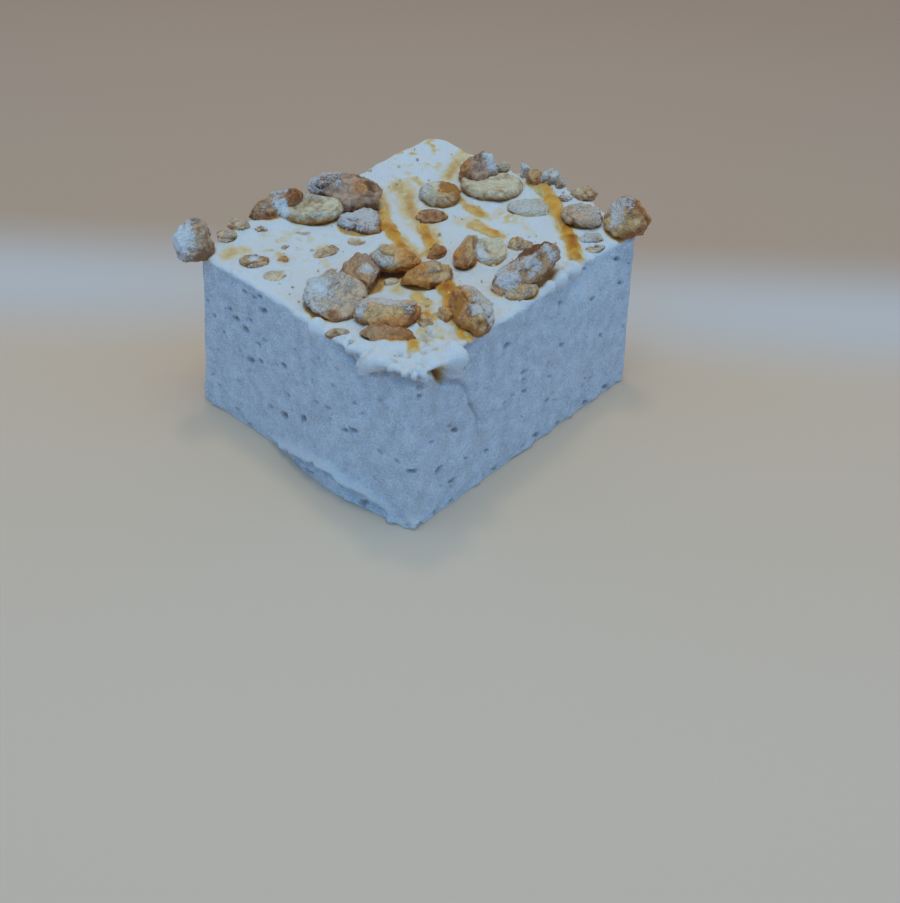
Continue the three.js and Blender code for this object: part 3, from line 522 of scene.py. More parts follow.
def pressed(along, height, bubbles, width_share):
    """How deep bubbles press, 0 to 1: for each ellipse, 1 less its squared reach, the deepest wins."""
    deepest = np.zeros(len(along))
    for middle, level_at, length, slant in bubbles:
        run = (along - middle) * np.cos(slant) + (height - level_at) * np.sin(slant)
        side = (height - level_at) * np.cos(slant) - (along - middle) * np.sin(slant)
        reach = (run / (length / 2)) ** 2 + (side / (length * width_share / 2)) ** 2
        deepest = np.maximum(deepest, np.clip(1.25 - reach, 0, 1) * min(length / 1.5, 1.2))
    return deepest


def distance_to_line(along, height, line):
    """Distance to a line of straight stretches, and how far along it (0 to 1) the nearest point is."""
    nearest = np.full(len(along), 1e9)
    share = np.zeros(len(along))
    for k in range(len(line) - 1):
        start, step = line[k], line[k + 1] - line[k]
        t = np.clip(((along - start[0]) * step[0] + (height - start[1]) * step[1]) / (step @ step), 0, 1)
        away = np.hypot(along - start[0] - t * step[0], height - start[1] - t * step[1])
        share = np.where(away < nearest, (k + t) / (len(line) - 1), share)
        nearest = np.minimum(nearest, away)
    return nearest, share


def bulging(points, lumps):
    """How far lumps stand out: for each, its radius times 1 less the squared reach; the furthest wins."""
    furthest = np.zeros(len(points))
    uneven = np.clip(1 + 0.6 * noise(points, 1.9, 8) + 0.4 * noise(points, 0.9, 9), 0.4, 2.0)
    for a, c, level_at, radius in lumps:
        reach = ((points - [*to_base(a, c), level_at]) ** 2).sum(1) * uneven / radius**2
        furthest = np.maximum(furthest, radius * np.clip(1 - reach, 0, 1))
    return furthest


draw = np.random.default_rng(7)


def drawn_bubbles(length, count):
    """Small bubbles strewn over a wall: place, height, size and slant, most of them tiny."""
    sizes = 0.4 + 0.6 * draw.random(count) ** 3
    slants = draw.normal(-0.2, 0.4, count)
    places = length * draw.random(count), 1 + (HEIGHT - 2) * draw.random(count)
    return np.column_stack([*places, sizes, slants])


def slanted(rows):
    """The listed bubbles with a slight slant each, drawn for every row."""
    return np.column_stack([np.array(rows), draw.normal(-0.2, 0.2, len(rows))])


# %% Bubbles and the tear on the walls
along, across = from_base(block_points[:, 0], block_points[:, 1])
height = block_points[:, 2]
out_x, out_y, out_z = block_normals.T
on_wall = ramp(1 - np.abs(out_z), 0.35, 0.8)
on_left = (out_x < -0.5) * on_wall
on_front = (out_y < -0.5) * on_wall
on_right = (out_x > 0.5) * on_wall
on_back = (out_y > 0.5) * on_wall

left_rows = np.vstack([slanted(LEFT_BUBBLES), drawn_bubbles(SHORT, SMALL_BUBBLES)])
left_pits = pressed(across, height, left_rows, 0.5)
front_rows = np.vstack([slanted(FRONT_BUBBLES), drawn_bubbles(LONG, SMALL_BUBBLES)])
front_pits = pressed(along, height, front_rows, 0.5)
right_pits = pressed(across, height, drawn_bubbles(SHORT, SMALL_BUBBLES), 0.55)
back_pits = pressed(along, height, drawn_bubbles(LONG, SMALL_BUBBLES), 0.55)
pits = on_left * left_pits + on_front * front_pits + on_right * right_pits + on_back * back_pits

tear_away, tear_share = distance_to_line(along, height, TEAR)
wedge = 1 - ramp(tear_share, WEDGE_END - 0.06, WEDGE_END + 0.04)
tear_width = 0.42 + 0.45 * wedge
tear = on_front * bell(tear_away, 0, tear_width) * (0.42 + 0.58 * wedge)
tear = tear * (1 - ramp(tear_share, 0.75, 1.0))
print("bubbles down to", round(float(BUBBLE_DEPTH * pits.max()), 2), "mm on", len(block_points), "points")

# %% [markdown]
# At the front corner the sticky top layer hangs over the cut as a clotted lip. Its lower edge runs
# up and down along each wall by bells and noise, and everything above that edge, or facing up near
# it, is pushed out. Lumps of foam stand out along the rim.

# %% The torn lip and the lumps
lumps = LUMP_SHARE * bulging(block_points, LUMPS)
left_edge = 31.7 - 2.3 * bell(across, 10.5, 4.5) - 1.0 * bell(across, 3, 4)
front_edge = 31.5 - 1.2 * bell(along, 2, 4) - 2.0 * bell(along, 8.8, 2.8)
facing_left = ramp(out_y - out_x, -0.5, 0.5)
hang_from = facing_left * left_edge + (1 - facing_left) * front_edge + 0.6 * noise(block_points, 2.0, 16)
lip_reach = (1 - ramp(across, 13, 18)) * (1 - ramp(along, 13, 17)) * (height > 20)
lip = lip_reach * np.maximum(ramp(height, hang_from, hang_from + 0.5), ramp(out_z, 0.5, 0.9))
clotted = 1.9 * np.abs(noise(block_points, 2.8, 17)) + 1.2 * np.abs(noise(block_points, 1.4, 18))
clotted = np.clip(clotted, 0, 1.6) + 0.2 * noise(block_points, 0.7, 19)
facing_up = ramp(out_z, 0.3, 0.9)
lip_relief = lip * (clotted * (1.3 - 0.5 * facing_up) - 0.4 * facing_up)
under_lip = lip_reach * bell(height, hang_from - 0.8, 0.7)
rim_rough = (0.4 * noise(block_points, 3.4, 3) + 0.3 * noise(block_points, 1.5, 6)) * bell(height, 31.8, 1.5)
print("lip out to", round(float(lip_relief.max()), 2), "mm, lumps to", round(float(lumps.max()), 2), "mm")

# %% [markdown]
# At the foot of the left wall the knife dragged the foam out as a ledge, with a hollow and a
# smaller fold below it. Then the whole relief is summed up. Torn parts are marked as fluff, which
# is whiter than the cut walls.

# %% The ledge at the foot, and all the relief together
near_corner = bell(across, 3, 10) * on_left + bell(along, 2, 12) * on_front
foot_rough = (0.35 + 0.7 * near_corner) * noise(block_points, 1.8, 5) * bell(height, 0.4, 1.6)
ledge_noise = 0.6 * noise(block_points, 4.0, 7) + 0.35 * noise(block_points, 1.3, 14)
ledge_at = 0.8 + 4.6 * bell(across, 17, 12) + ledge_noise
ledge_reach = on_left * ramp(across, 2, 10) * (1 - ramp(across, 27, 38))
ledge_shape = 1.2 * (1 + 0.5 * noise(block_points, 1.6, 27)) * bell(height, ledge_at, 0.8)
ledge_shape += 0.6 * bell(height, ledge_at - 2.6, 0.5) * ramp(across, 12, 16)
ledge_shape -= 0.9 * bell(height, ledge_at - 1.7, 0.9)
ledge = ledge_reach * ledge_shape
waves = 0.18 * noise(block_points, 5.0, 1) + 0.15 * noise(block_points, 2.2, 2)
grain = 0.07 * noise(block_points, 0.9, 4)
wall_relief = on_wall * (waves + grain + rim_rough + foot_rough) + ledge + lumps + lip_relief
wall_relief -= UNDER_LIP_DEPTH * on_wall * under_lip + BUBBLE_DEPTH * pits + TEAR_DEPTH * tear
fluff = ramp(lumps, 0.05, 0.5) + 0.7 * lip + 1.2 * ledge_reach * bell(height, ledge_at + 0.4, 0.8)
fluff += near_corner * bell(height, 1.2, 1.8) * ramp(noise(block_points, 2.2, 15), -0.2, 0.5)
print("ledge out to", round(float(ledge.max()), 2), "mm, fluffy share", round(float((fluff > 0.5).mean()), 3))

# %% [markdown]
# ## Relief on the top
#
# The nuts were pressed into soft foam, which swelled up round them. So the top rises in a ring
# round every nut: the distance from its middle is measured in its own half sizes, and a bell
# curve of that distance, centred just outside its edge, is the height of the swelling. Small
# pieces sank in further, so the foam closes round them more.


# %% Swellings round the nuts
def reach_of(along, across, middle_along, middle_across, length, width, yaw):
    """Distance from a turned ellipse's middle, where 1 is its edge."""
    turn = np.radians(yaw)
    x, y = along - middle_along, across - middle_across
    run = (x * np.cos(turn) + y * np.sin(turn)) / (length / 2)
    side = (y * np.cos(turn) - x * np.sin(turn)) / (width / 2)
    return np.hypot(run, side)


def reach_of_piece(row):
    """The same distance of the block's points from one nut or chip, given as its row."""
    middle_along, middle_across, _, length, width, _, yaw = row[:7]
    return reach_of(along, across, middle_along, middle_across, length, width, yaw)


SMALL_LENGTH = 6.5

swelling = np.zeros(len(block_points))
for row in [*NUTS.values(), *CHIPS]:
    length, thick = row[3], row[5]
    rise = 0.05 * thick + 0.1 if length > SMALL_LENGTH else 0.12 * thick + 0.2
    swelling = np.maximum(swelling, rise * bell(reach_of_piece(row), 1.05, 0.22))
on_top = ramp(out_z, 0.35, 0.8)
top_waves = 0.26 * noise(block_points, 6.0, 11) + 0.16 * noise(block_points, 2.4, 12)
top_grain = 0.14 * noise(block_points, 1.1, 13)
top_relief = on_top * (swelling + top_waves + top_grain)
print("top: swellings up to", round(float(swelling.max()), 2), "mm")

# %% [markdown]
# ## Stains and painted shade
#
# Thin caramel soaked into the foam beside each string and in a few patches. Round the foot of
# each nut, amber to brown is painted in as the shade of its contact. Each point of the top gets a
# stain, about 1 where it is strong and more where it turns brown: in the gap under a nut, where
# caramel pooled and its shade is painted in as well. Near a string it falls off with distance,
# and in a patch it is a bell over an ellipse, broken up by noise so that its edge is ragged.

# %% The stains
BESIDE_STRINGS, IN_PATCHES, SHADE_UNDER_NUTS, IN_THE_TEAR = 0.7, 1.45, 0.95, 1.4

stain = np.zeros(len(block_points))
ragged = 0.40 * noise(block_points, 2.4, 21) + 0.35 * noise(block_points, 1.0, 22)
for width, strength, line in RUNS:
    away = distance_to_line(along, across, np.array(line))[0]
    soaked = 1 - ramp(away / (0.5 * width) + ragged, 0.1, 1.6)
    stain = np.maximum(stain, strength * soaked * (1 + 0.9 * ragged))
for width, _, line in STRINGS:
    away = distance_to_line(along, across, np.array(line))[0]
    soaked = 1 - ramp(away / (0.5 * width) + 0.6 * ragged, 0.8, 1.5)
    stain = np.maximum(stain, BESIDE_STRINGS * soaked)
specks = ramp(0.5 * noise(block_points, 2.2, 23) + 0.6 * noise(block_points, 0.9, 24), 0.1, 0.6)
for *patch, strength in STAINS:
    reach = reach_of(along, across, *patch)
    stain = np.maximum(stain, IN_PATCHES * strength * np.exp(-(reach**4)) * specks)
# Painted contact shade: amber to brown round each nut's foot.
for row in NUTS.values():
    reach = reach_of_piece(row) + 0.12 * ragged
    stain = np.maximum(stain, SHADE_UNDER_NUTS * (1 - ramp(reach, 0.82, 1.08)))
stain = stain * on_top + IN_THE_TEAR * tear * wedge
print("stained share", round(float((stain > 0.2).mean()), 3), "strongest", round(float(stain.max()), 2))

# %% [markdown]
# Now the smooth block is pushed out along its normals by the whole relief, and never below the
# plane it stands on. The marks go with it: the stain with its painted shade, where it was cut,
# where it is fluffy, and the painted shade in bubbles, in the tear, under the lip and between the
# lip's clots.

# %% The block's object
# Painted shade: in the bubbles and the tear, under the lip on the wall, and in the creases between the lip's
# clots.
shaded = 0.6 * on_wall * under_lip + 0.7 * lip * ramp(-clotted, -0.5, 0)
block_surface = block_points + block_normals * (wall_relief + top_relief)[:, None]
block_surface[:, 2] = np.maximum(block_surface[:, 2], 0)
foam = make_piece("marshmallow_foam", block_surface, block_faces, "marshmallow",
                  stain=stain, cut=on_wall, fluff=np.clip(fluff, 0, 1),
                  pit=np.clip(pits + tear + shaded, 0, 1))
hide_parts("marshmallow")
print("foam:", len(foam.data.polygons), "faces")

# %% [markdown]
# ## Pieces of peanut
#
# A chopped peanut is a rounded body with a few flat faces. Along each direction from its middle,
# the surface lies where the ball or the nearest chopping plane is, whichever comes first. A plain
# minimum would leave knife-sharp edges, so the powers of all the distances are added instead,
# which rounds every edge a little. The ball is then stretched to the nut's sizes and roughened,
# less so on the pale inner faces of split halves, which are smooth and waxy.


# %% A nut's surface
ROUNDING = 60
FULLY_ROUGH_FROM = 5.0


def ball(rows, columns):
    """Unit directions over turns round the X axis, and the faces of that grid with closed poles."""
    polar = np.linspace(0, np.pi, rows + 1)[1:-1]
    turn = np.linspace(0, 2 * np.pi, columns, endpoint=False)
    a, b = np.meshgrid(polar, turn, indexing="ij")
    ring = np.stack([np.cos(a), np.sin(a) * np.cos(b), np.sin(a) * np.sin(b)], -1).reshape(-1, 3)
    directions = np.vstack([ring, [[1, 0, 0], [-1, 0, 0]]])
    return directions, tube_faces(np.arange(len(ring)).reshape(a.shape), (len(ring), len(ring) + 1))


def chopped(directions, sizes, cuts, seed, faces=0, depth=0.22, hollow=0.0, crumbly=1.0):
    """A nut about its middle, from balls and planes blended by powers, and marks for its looks.

    The ball is stretched to the sizes, its flat face is hollowed, and it is roughened, by a share
    for how crumbly it is and less when it is small. The marks are three. Edge: where the largest
    two powers tie, two faces meet, so their share of the sum tells how near an edge is. Inside:
    the planes' share of the sum is 1 on a chopped face and 0 on the skin. Crease: a thin band
    where a slow noise crosses zero, pressed in as a groove.
    """
    x, y, z = directions.T
    skin = (1 + 0.07 * ripple(4 * x + seed, 5 * y, 5 * z + seed)) ** -ROUNDING
    powers = skin
    largest = skin
    broken = np.random.default_rng(seed).normal(size=(faces, 3))
    planes = [(*normal, 1 - depth * (1 - k / faces)) for k, normal in enumerate(broken)]
    for plane in [*cuts, *planes]:
        normal = np.array(plane[:3]) / np.linalg.norm(plane[:3])
        power = (np.maximum(directions @ normal, 0) / plane[3]) ** ROUNDING
        powers = powers + power
        largest = np.maximum(largest, power)
    points = directions * (powers ** (-1 / ROUNDING))[:, None] * np.array(sizes) / 2
    middle = np.hypot(points[:, 0] / sizes[0], points[:, 1] / sizes[1]) / 0.3
    groove = 0.6 * bell(points[:, 1], 0, 0.5)
    points[:, 2] -= hollow * ramp(z, 0.3, 0.7) * np.exp(-(middle**4)) * (1 + groove)
    inside = 1 - skin / powers
    stretched = points * [0.55, 1, 1]
    crease = bell(noise(stretched, 2.4, seed + 5), 0, 0.13)
    crease *= ramp(noise(points, 2.8, seed + 6), -0.5, 0.3)
    crust = np.abs(noise(points, 1.3, seed + 1)) - 0.3
    rough = 0.22 * noise(points, 2.4, seed) + 0.42 * crust - 0.40 * crease
    rough += 0.20 * noise(stretched, 0.9, seed + 2) + 0.13 * noise(points, 0.55, seed + 3)
    size_share = crumbly * min(1, max(sizes) / FULLY_ROUGH_FROM)
    marks = {"edge": ramp(powers / largest, 1.1, 1.8), "inside": inside, "crease": crease}
    return points + directions * (size_share * rough)[:, None], marks


def turned(points, yaw, pitch=0.0, roll=0.0):
    """Rolled about X, pitched about Y, then turned about Z, in degrees."""
    turns = [np.radians(roll), np.radians(-pitch), np.radians(yaw)]
    (sr, sp, sy), (cr, cp, cy) = np.sin(turns), np.cos(turns)
    about_x = np.array([[1, 0, 0], [0, cr, -sr], [0, sr, cr]])
    about_y = np.array([[cp, 0, sp], [0, 1, 0], [-sp, 0, cp]])
    about_z = np.array([[cy, -sy, 0], [sy, cy, 0], [0, 0, 1]])
    return points @ (about_z @ about_y @ about_x).T


def seated(along, across, lift):
    """A place on the top, lifted, from the middle of the base."""
    return np.array([*to_base(along, across), top_height(along, across) + lift])


# %% Every nut in its place
TO_RIGHT = np.array([0.64, -0.77, 0.0])
AWAY = np.array([0.77, 0.64, 0.0])
UP = np.array([0.0, 0.0, 1.0])


def towards(outward, side):
    """How much each direction faces a side given as to the right, away and up."""
    return outward @ (side[0] * TO_RIGHT + side[1] * AWAY + side[2] * UP)


def weathered_and_shaded(body, outward, marks, seed, look, painted_shade_height=0.9):
    """Powder, glaze and roast of each point: by side, painted shade below and in creases, pale inside."""
    powder, powder_side, glaze, glaze_side, roast_and_shade = look
    a, c = from_base(body[:, 0], body[:, 1])
    # The foot is painted contact shade: near the top's surface and on the side facing down.
    foot = 1 - ramp(body[:, 2] - top_height(a, c), 0.15 * painted_shade_height, painted_shade_height)
    foot = np.maximum(foot, painted_shade_height * ramp(-outward[:, 2], -0.25, 0.3))
    patches = noise(body, 2.2, seed + 60)
    edge, inside, crease = marks["edge"], marks["inside"], marks["crease"]
    # Painted shade: the foot and the creases take powder away and darken the roast, and the foot adds glaze.
    powder = powder + towards(outward, powder_side) + 0.30 * patches + 0.15 * edge - 0.5 * foot - 0.3 * crease
    glaze = glaze + towards(outward, glaze_side) + 0.20 * noise(body, 1.8, seed + 80) + 0.35 * foot
    roast_and_shade = roast_and_shade + 0.2 * patches - 0.2 * edge - 0.25 * inside + 0.7 * foot + 0.5 * crease
    values = {"powder": powder, "glaze": glaze, "roast_and_shade": roast_and_shade}
    for spot_along, spot_across, radius, *changes in SPOTS:
        away = np.hypot(a - spot_along, c - spot_across) / radius * (1 + 0.35 * noise(body, 0.9, 70))
        near = 1 - ramp(away, 0.2, 1.45)
        for key, change in zip(values, changes):
            values[key] = values[key] + near * change
    return {key: np.clip(value, 0, 1.4) for key, value in values.items()}


NUT_ROAST = 0.42
PALE_CRUMBLY = 0.55

nut_pieces = []
nut_directions, nut_faces = ball(92, 100)
for number, (name, row) in enumerate(NUTS.items()):
    place, sizes, (yaw, pitch, roll), cuts = row[:3], row[3:6], row[6:9], row[9]
    material_slot, powder, powder_side, glaze, glaze_side, hollow, broken_faces = NUT_LOOKS[name]
    crumbly = PALE_CRUMBLY if material_slot == "peanut_pale" else 1.0
    shape, marks = chopped(nut_directions, sizes, cuts, number, broken_faces, hollow=hollow, crumbly=crumbly)
    body = turned(shape, yaw, pitch, roll) + seated(*place)
    outward = turned(nut_directions, yaw, pitch, roll)
    look = powder, powder_side, glaze, glaze_side, NUT_ROAST
    nut = make_piece(name + "_dusted", body, nut_faces, material_slot,
                     **weathered_and_shaded(body, outward, marks, number, look))
    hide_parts(name)
    nut_pieces.append(nut)
print("nuts:", len(nut_pieces), "pieces of", len(nut_faces), "faces")

# %% [markdown]
# ## Chips and crumbs
#
# The chips are the same chopped surface with fewer faces, joined into one object. Crumbs are too
# small to place by hand: a seeded draw strews them, more of them towards the left half as on the
# real square, and each is a rough grain of a few dozen faces.


# %% Chips of nut
def joined(parts):
    """Several surfaces as one: their points stacked, and their faces' numbers moved up to match."""
    starts = np.cumsum([0] + [len(points) for points, faces in parts[:-1]])
    points = np.vstack([points for points, faces in parts])
    return points, np.vstack([faces + start for (_, faces), start in zip(parts, starts)])


def gathered(looks):
    """The looks of several surfaces as one: each attribute's values end to end."""
    return {key: np.concatenate([values[key] for values in looks]) for key in looks[0]}


EVENLY = (0, 0, 0)
chip_directions, chip_faces = ball(40, 40)
chip_parts = []
chip_looks = []
for number, (a, c, lift, length, width, thick, yaw, cuts, roast_and_shade, powder, glaze) in enumerate(CHIPS):
    shape, marks = chopped(chip_directions, (length, width, thick), cuts, number + 40, 9, depth=0.35)
    chip = turned(shape, yaw) + seated(a, c, lift)
    outward = turned(chip_directions, yaw)
    chip_parts.append((chip, chip_faces))
    look = powder, EVENLY, glaze, EVENLY, roast_and_shade + 0.15
    chip_looks.append(weathered_and_shaded(chip, outward, marks, number + 40, look, painted_shade_height=0.35))
chips = make_piece("nut_chips", *joined(chip_parts), "peanut_tan", **gathered(chip_looks))
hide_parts("marshmallow")
print("chips:", len(chips.data.polygons), "faces")

# %% Crumbs of nut and lumps of powder
CRUMBS = 150
crumb_directions, crumb_faces = ball(6, 7)
crumb_parts = []
crumb_looks = []
crumb_s, crumb_t = draw.random(CRUMBS) ** 1.3, draw.random(CRUMBS)
crumb_sizes = 0.3 + 0.6 * draw.random(CRUMBS) ** 2
crumb_along, crumb_across = block_point(crumb_s, crumb_t, HEIGHT, TOP_EDGE)
for number in range(CRUMBS):
    size = crumb_sizes[number] * draw.uniform(0.6, 1.3, 3)
    shape, marks = chopped(crumb_directions, size, [], number, 4)
    crumb = turned(shape, 360 * draw.random()) + seated(crumb_along[number], crumb_across[number], 0.1)
    crumb_parts.append((crumb, crumb_faces))
    same = np.ones(len(crumb))
    crumb_looks.append({"powder": (0.1 + 0.7 * draw.random()) * same,
                        "glaze": 0.5 * draw.random() ** 2 * same,
                        "roast_and_shade": 0.4 * draw.random() ** 1.5 * same})
crumbs = make_piece("nut_crumbs", *joined(crumb_parts), "peanut_tan", **gathered(crumb_looks))
print("crumbs:", CRUMBS, "grains,", len(crumbs.data.polygons), "faces")

# %% [markdown]
# ## Caramel
#
# Warm caramel ran over the top and set as flat, glossy strings with soft edges. A round tube
# would stand up like a cord, so each string is a flat dome: a ring of points whose upper half
# rises as a low arch and whose lower half dips just under the foam, carried along a smooth line.
# Its width wavers, and its ends taper. The dome's height is kept as an attribute, since thin
# caramel is pale yellow and thick caramel is deep amber. It grows towards the string's last
# place, where the caramel ran to.

# %% Strings of caramel
STRING_SIDES = 28
STRING_STEP = 0.35


def smooth_line(places, step):
    """A line through the places by Catmull-Rom cubics, with points about one step apart."""
    places = np.array(places, float)
    ends = np.vstack([2 * places[0] - places[1], places, 2 * places[-1] - places[-2]])
    stretches = []
    for k in range(len(places) - 1):
        a, b, c, d = ends[k:k + 4]
        count = max(int(np.linalg.norm(c - b) / step), 2)
        t = np.linspace(0, 1, count, endpoint=False)[:, None]
        stretches.append(0.5 * (2 * b + (c - a) * t + (2 * a - 5 * b + 4 * c - d) * t**2
                                + (3 * b - a - 3 * c + d) * t**3))
    return np.vstack([*stretches, places[-1:]])


def caramel_string(width, thickness, places, seed):
    """A dome over the top: half width times cosine, arch times sine above, a shallow dip below.

    Its rings run clockwise, so each face's corners are taken the other way round.
    """
    line = smooth_line(places, STRING_STEP)
    run = np.gradient(line, axis=0)
    run /= np.linalg.norm(run, axis=1, keepdims=True)
    side = np.column_stack([-run[:, 1], run[:, 0]])
    share = np.linspace(0, 1, len(line))
    taper = np.sqrt(np.clip(1 - np.abs(2 * share - 1) ** 4, 0.02, 1))
    level_line = np.column_stack([line, np.zeros(len(line))])
    waver = 0.5 * noise(level_line, 2.3, seed) + 0.35 * noise(level_line, 1.1, seed + 5)
    half = 0.5 * width * taper * np.clip(0.95 + waver, 0.35, 1.5)
    beads = 0.9 + 0.55 * noise(level_line, 1.8, seed + 9)
    turn = np.linspace(0, 2 * np.pi, STRING_SIDES, endpoint=False)
    spread = half[:, None] * np.cos(turn)
    a = line[:, 0, None] + side[:, 0, None] * spread
    c = line[:, 1, None] + side[:, 1, None] * spread
    arch = (thickness * taper * beads)[:, None] * np.where(np.sin(turn) > 0, np.sin(turn), 0.6 * np.sin(turn))
    z = top_height(a, c) + arch
    points = np.stack([*to_base(a, c), z], -1).reshape(-1, 3)
    tips = np.vstack([points[:STRING_SIDES].mean(0), points[-STRING_SIDES:].mean(0)])
    faces = tube_faces(np.arange(len(points)).reshape(a.shape), (len(points), len(points) + 1))
    faces = faces[:, [1, 0, 3, 2]]
    depth = np.clip(arch / 0.9 * (0.45 + 0.55 * share)[:, None], 0, 1.4).ravel()
    return np.vstack([points, tips]), faces, np.append(depth, [0.1, 0.1])


string_parts = [caramel_string(*row, number) for number, row in enumerate(STRINGS)]
caramel = make_piece("caramel_strings", *joined([part[:2] for part in string_parts]), "caramel",
                     depth=np.concatenate([part[2] for part in string_parts]))
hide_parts("marshmallow")
print("caramel:", len(STRINGS), "strings,", len(caramel.data.polygons), "faces")

# %% [markdown]
# ## Finishes
#
# Colours are written as hex values, as a painter would pick them, and one function turns them
# into the linear numbers that a shader works in. Another adds one node with its settings, and
# fills its sockets with values and links. Pattern sizes are real ones in millimetres.


# %% Helpers for materials
# A Mix node's sockets share their names, so they are picked by number: its share, and its first
# and second colour, or 2 and 3 where it mixes plain numbers. A Math node's go by number as well,
# in the order of its formula.
SHARE, FIRST, SECOND = 0, 6, 7


def linear(colour):
    """The linear red, green, blue and alpha of a hex colour: the sRGB curve undone."""
    channels = np.array([int(colour[k:k + 2], 16) for k in (1, 3, 5)]) / 255
    curve = np.where(channels <= 0.04045, channels / 12.92, ((channels + 0.055) / 1.055) ** 2.4)
    return (*curve.tolist(), 1.0)


def fill(tree, node, values=None, links=None):
    """Values and links into a node's sockets. A hex value is made linear.

    A node that is given as a link's source stands for its first output in use.
    """
    for key, value in (values or {}).items():
        node.inputs[key].default_value = linear(value) if isinstance(value, str) else value
    for key, source in (links or {}).items():
        if isinstance(source, bpy.types.Node):
            source = next(output for output in source.outputs if output.enabled)
        tree.links.new(source, node.inputs[key])


def add(tree, kind, values=None, links=None, **settings):
    """One node: its kind (the type's name after ShaderNode), its sockets filled, its settings."""
    node = tree.nodes.new("ShaderNode" + kind)
    for key, value in settings.items():
        setattr(node, key, value)
    fill(tree, node, values, links)
    return node


def new_finish(name):
    """An empty material with its tree, its shader and the object's own coordinates."""
    material = bpy.data.materials.new(name)
    material.use_nodes = True
    tree = material.node_tree
    tree.nodes.clear()
    shader = add(tree, "BsdfPrincipled")
    add(tree, "OutputMaterial", links={"Surface": shader})
    return material, tree, shader, add(tree, "TexCoord").outputs["Object"]


def scale_for(size):
    """A noise texture's scale for lumps of that size in mm, as coordinates are in metres."""
    return 1 / (size * MM)


# %% [markdown]
# ### Whipped marshmallow, cut and dusted
#
# Marshmallow is a foam of sugar, gelatine and air. It has no gloss, and light that enters it
# comes out again nearby, so its shadows are soft. Where it was cut, the open bubbles make it a
# little mottled, and warm shade is painted into the deeper ones. The cut walls are greyer and
# cooler than the top, partly as bare foam and partly as painted cool shade. The dusted top is
# smoother and whiter, except where caramel soaked in and left it yellow to brown and a little
# wet, and where brown shade is painted round the nuts.


# %% The foam's material
def whipped_marshmallow():
    """White foam: fine grain on the cut walls, and stains from yellow through amber to brown on top.

    The walls are greyer and cooler than the top, partly as painted cool shade. The brown is partly
    painted shade under the nuts, and warm shade is painted into the bubbles, the tear and under
    the lip.
    """
    material, tree, shader, place = new_finish("whipped_marshmallow_cut_and_dusted")
    stain, cut, fluff, pit = [add(tree, "Attribute", attribute_name=key).outputs["Fac"]
                              for key in ("stain", "cut", "fluff", "pit")]

    patches = add(tree, "TexNoise", {"Scale": scale_for(6.0), "Detail": 3.0}, {"Vector": place})
    top = add(tree, "Mix", {FIRST: "#f6f4f1", SECOND: "#ebe9e6"}, {SHARE: patches}, data_type="RGBA")
    grains = add(tree, "TexNoise", {"Scale": scale_for(0.35), "Detail": 3.0}, {"Vector": place})
    drifts = add(tree, "TexNoise", {"Scale": scale_for(2.4), "Detail": 4.0}, {"Vector": place})
    both = add(tree, "Math", {1: 0.7}, {0: drifts, 2: grains}, operation="MULTIPLY_ADD")
    light_share = add(tree, "MapRange", {"From Min": 0.62, "From Max": 1.08}, {"Value": both})
    # The cut walls are greyer and cooler than the top: partly the bare foam, partly painted cool shade.
    wall_with_cool_shade = add(tree, "Mix", {FIRST: "#c9cdd2", SECOND: "#f4f8fc"}, {SHARE: light_share}, data_type="RGBA")
    bare = add(tree, "Math", links={0: cut, 1: fluff}, operation="SUBTRACT", use_clamp=True)
    colour = add(tree, "Mix", links={SHARE: bare, FIRST: top, SECOND: wall_with_cool_shade}, data_type="RGBA")

    speckle = add(tree, "TexNoise", {"Scale": scale_for(1.4), "Detail": 3.0, "Roughness": 0.55},
                  {"Vector": place})
    frayed = add(tree, "Math", {1: 0.7, 2: -0.35}, {0: speckle}, operation="MULTIPLY_ADD")
    level = add(tree, "Math", links={0: stain, 1: frayed}, operation="ADD")
    # The brown stage is partly caramel pooled under the nuts and partly painted shade in the gaps beneath
    # them.
    for low, high, tint in [(0.10, 0.60, "#f6d79c"), (0.55, 1.10, "#db9443"), (1.15, 1.5, "#744420")]:
        share = add(tree, "MapRange", {"From Min": low, "From Max": high}, {"Value": level})
        colour = add(tree, "Mix", {SECOND: tint}, {SHARE: share, FIRST: colour}, data_type="RGBA")
    # Warm painted shade in the bubbles, the tear, under the lip and between its clots.
    pit_share = add(tree, "Math", {1: 0.6}, {0: pit}, operation="MULTIPLY")
    colour = add(tree, "Mix", {SECOND: "#8a6c56"}, {SHARE: pit_share, FIRST: colour}, data_type="RGBA")

    wet = add(tree, "MapRange", {"From Min": 0.45, "From Max": 0.8, "To Min": 0.9, "To Max": 0.4},
              {"Value": level})
    bubbles = add(tree, "TexNoise", {"Scale": scale_for(0.45), "Detail": 4.0, "Roughness": 0.65},
                  {"Vector": place})
    strength = add(tree, "MapRange", {"To Min": 0.6, "To Max": 1.0}, {"Value": cut})
    bump = add(tree, "Bump", {"Distance": 0.65 * MM}, {"Height": bubbles, "Strength": strength})
    fill(tree, shader,
         {"IOR": 1.38, "Specular IOR Level": 0.25, "Subsurface Weight": 0.2,
          "Subsurface Radius": (1.0, 0.9, 0.8), "Subsurface Scale": 0.8 * MM},
         {"Base Color": colour, "Roughness": wet, "Normal": bump})
    return material


foam.data.materials.append(whipped_marshmallow())

# %% [markdown]
# ### Roasted peanut, dusted
#
# Peanuts were blanched and dry roasted: cream inside, tan to brown where the heat reached, and
# waxy rather than shiny. Over that lies starch and fine sugar, which clings in specks. Where
# caramel ran over a nut it is amber and smooth, under a thin clear coat.


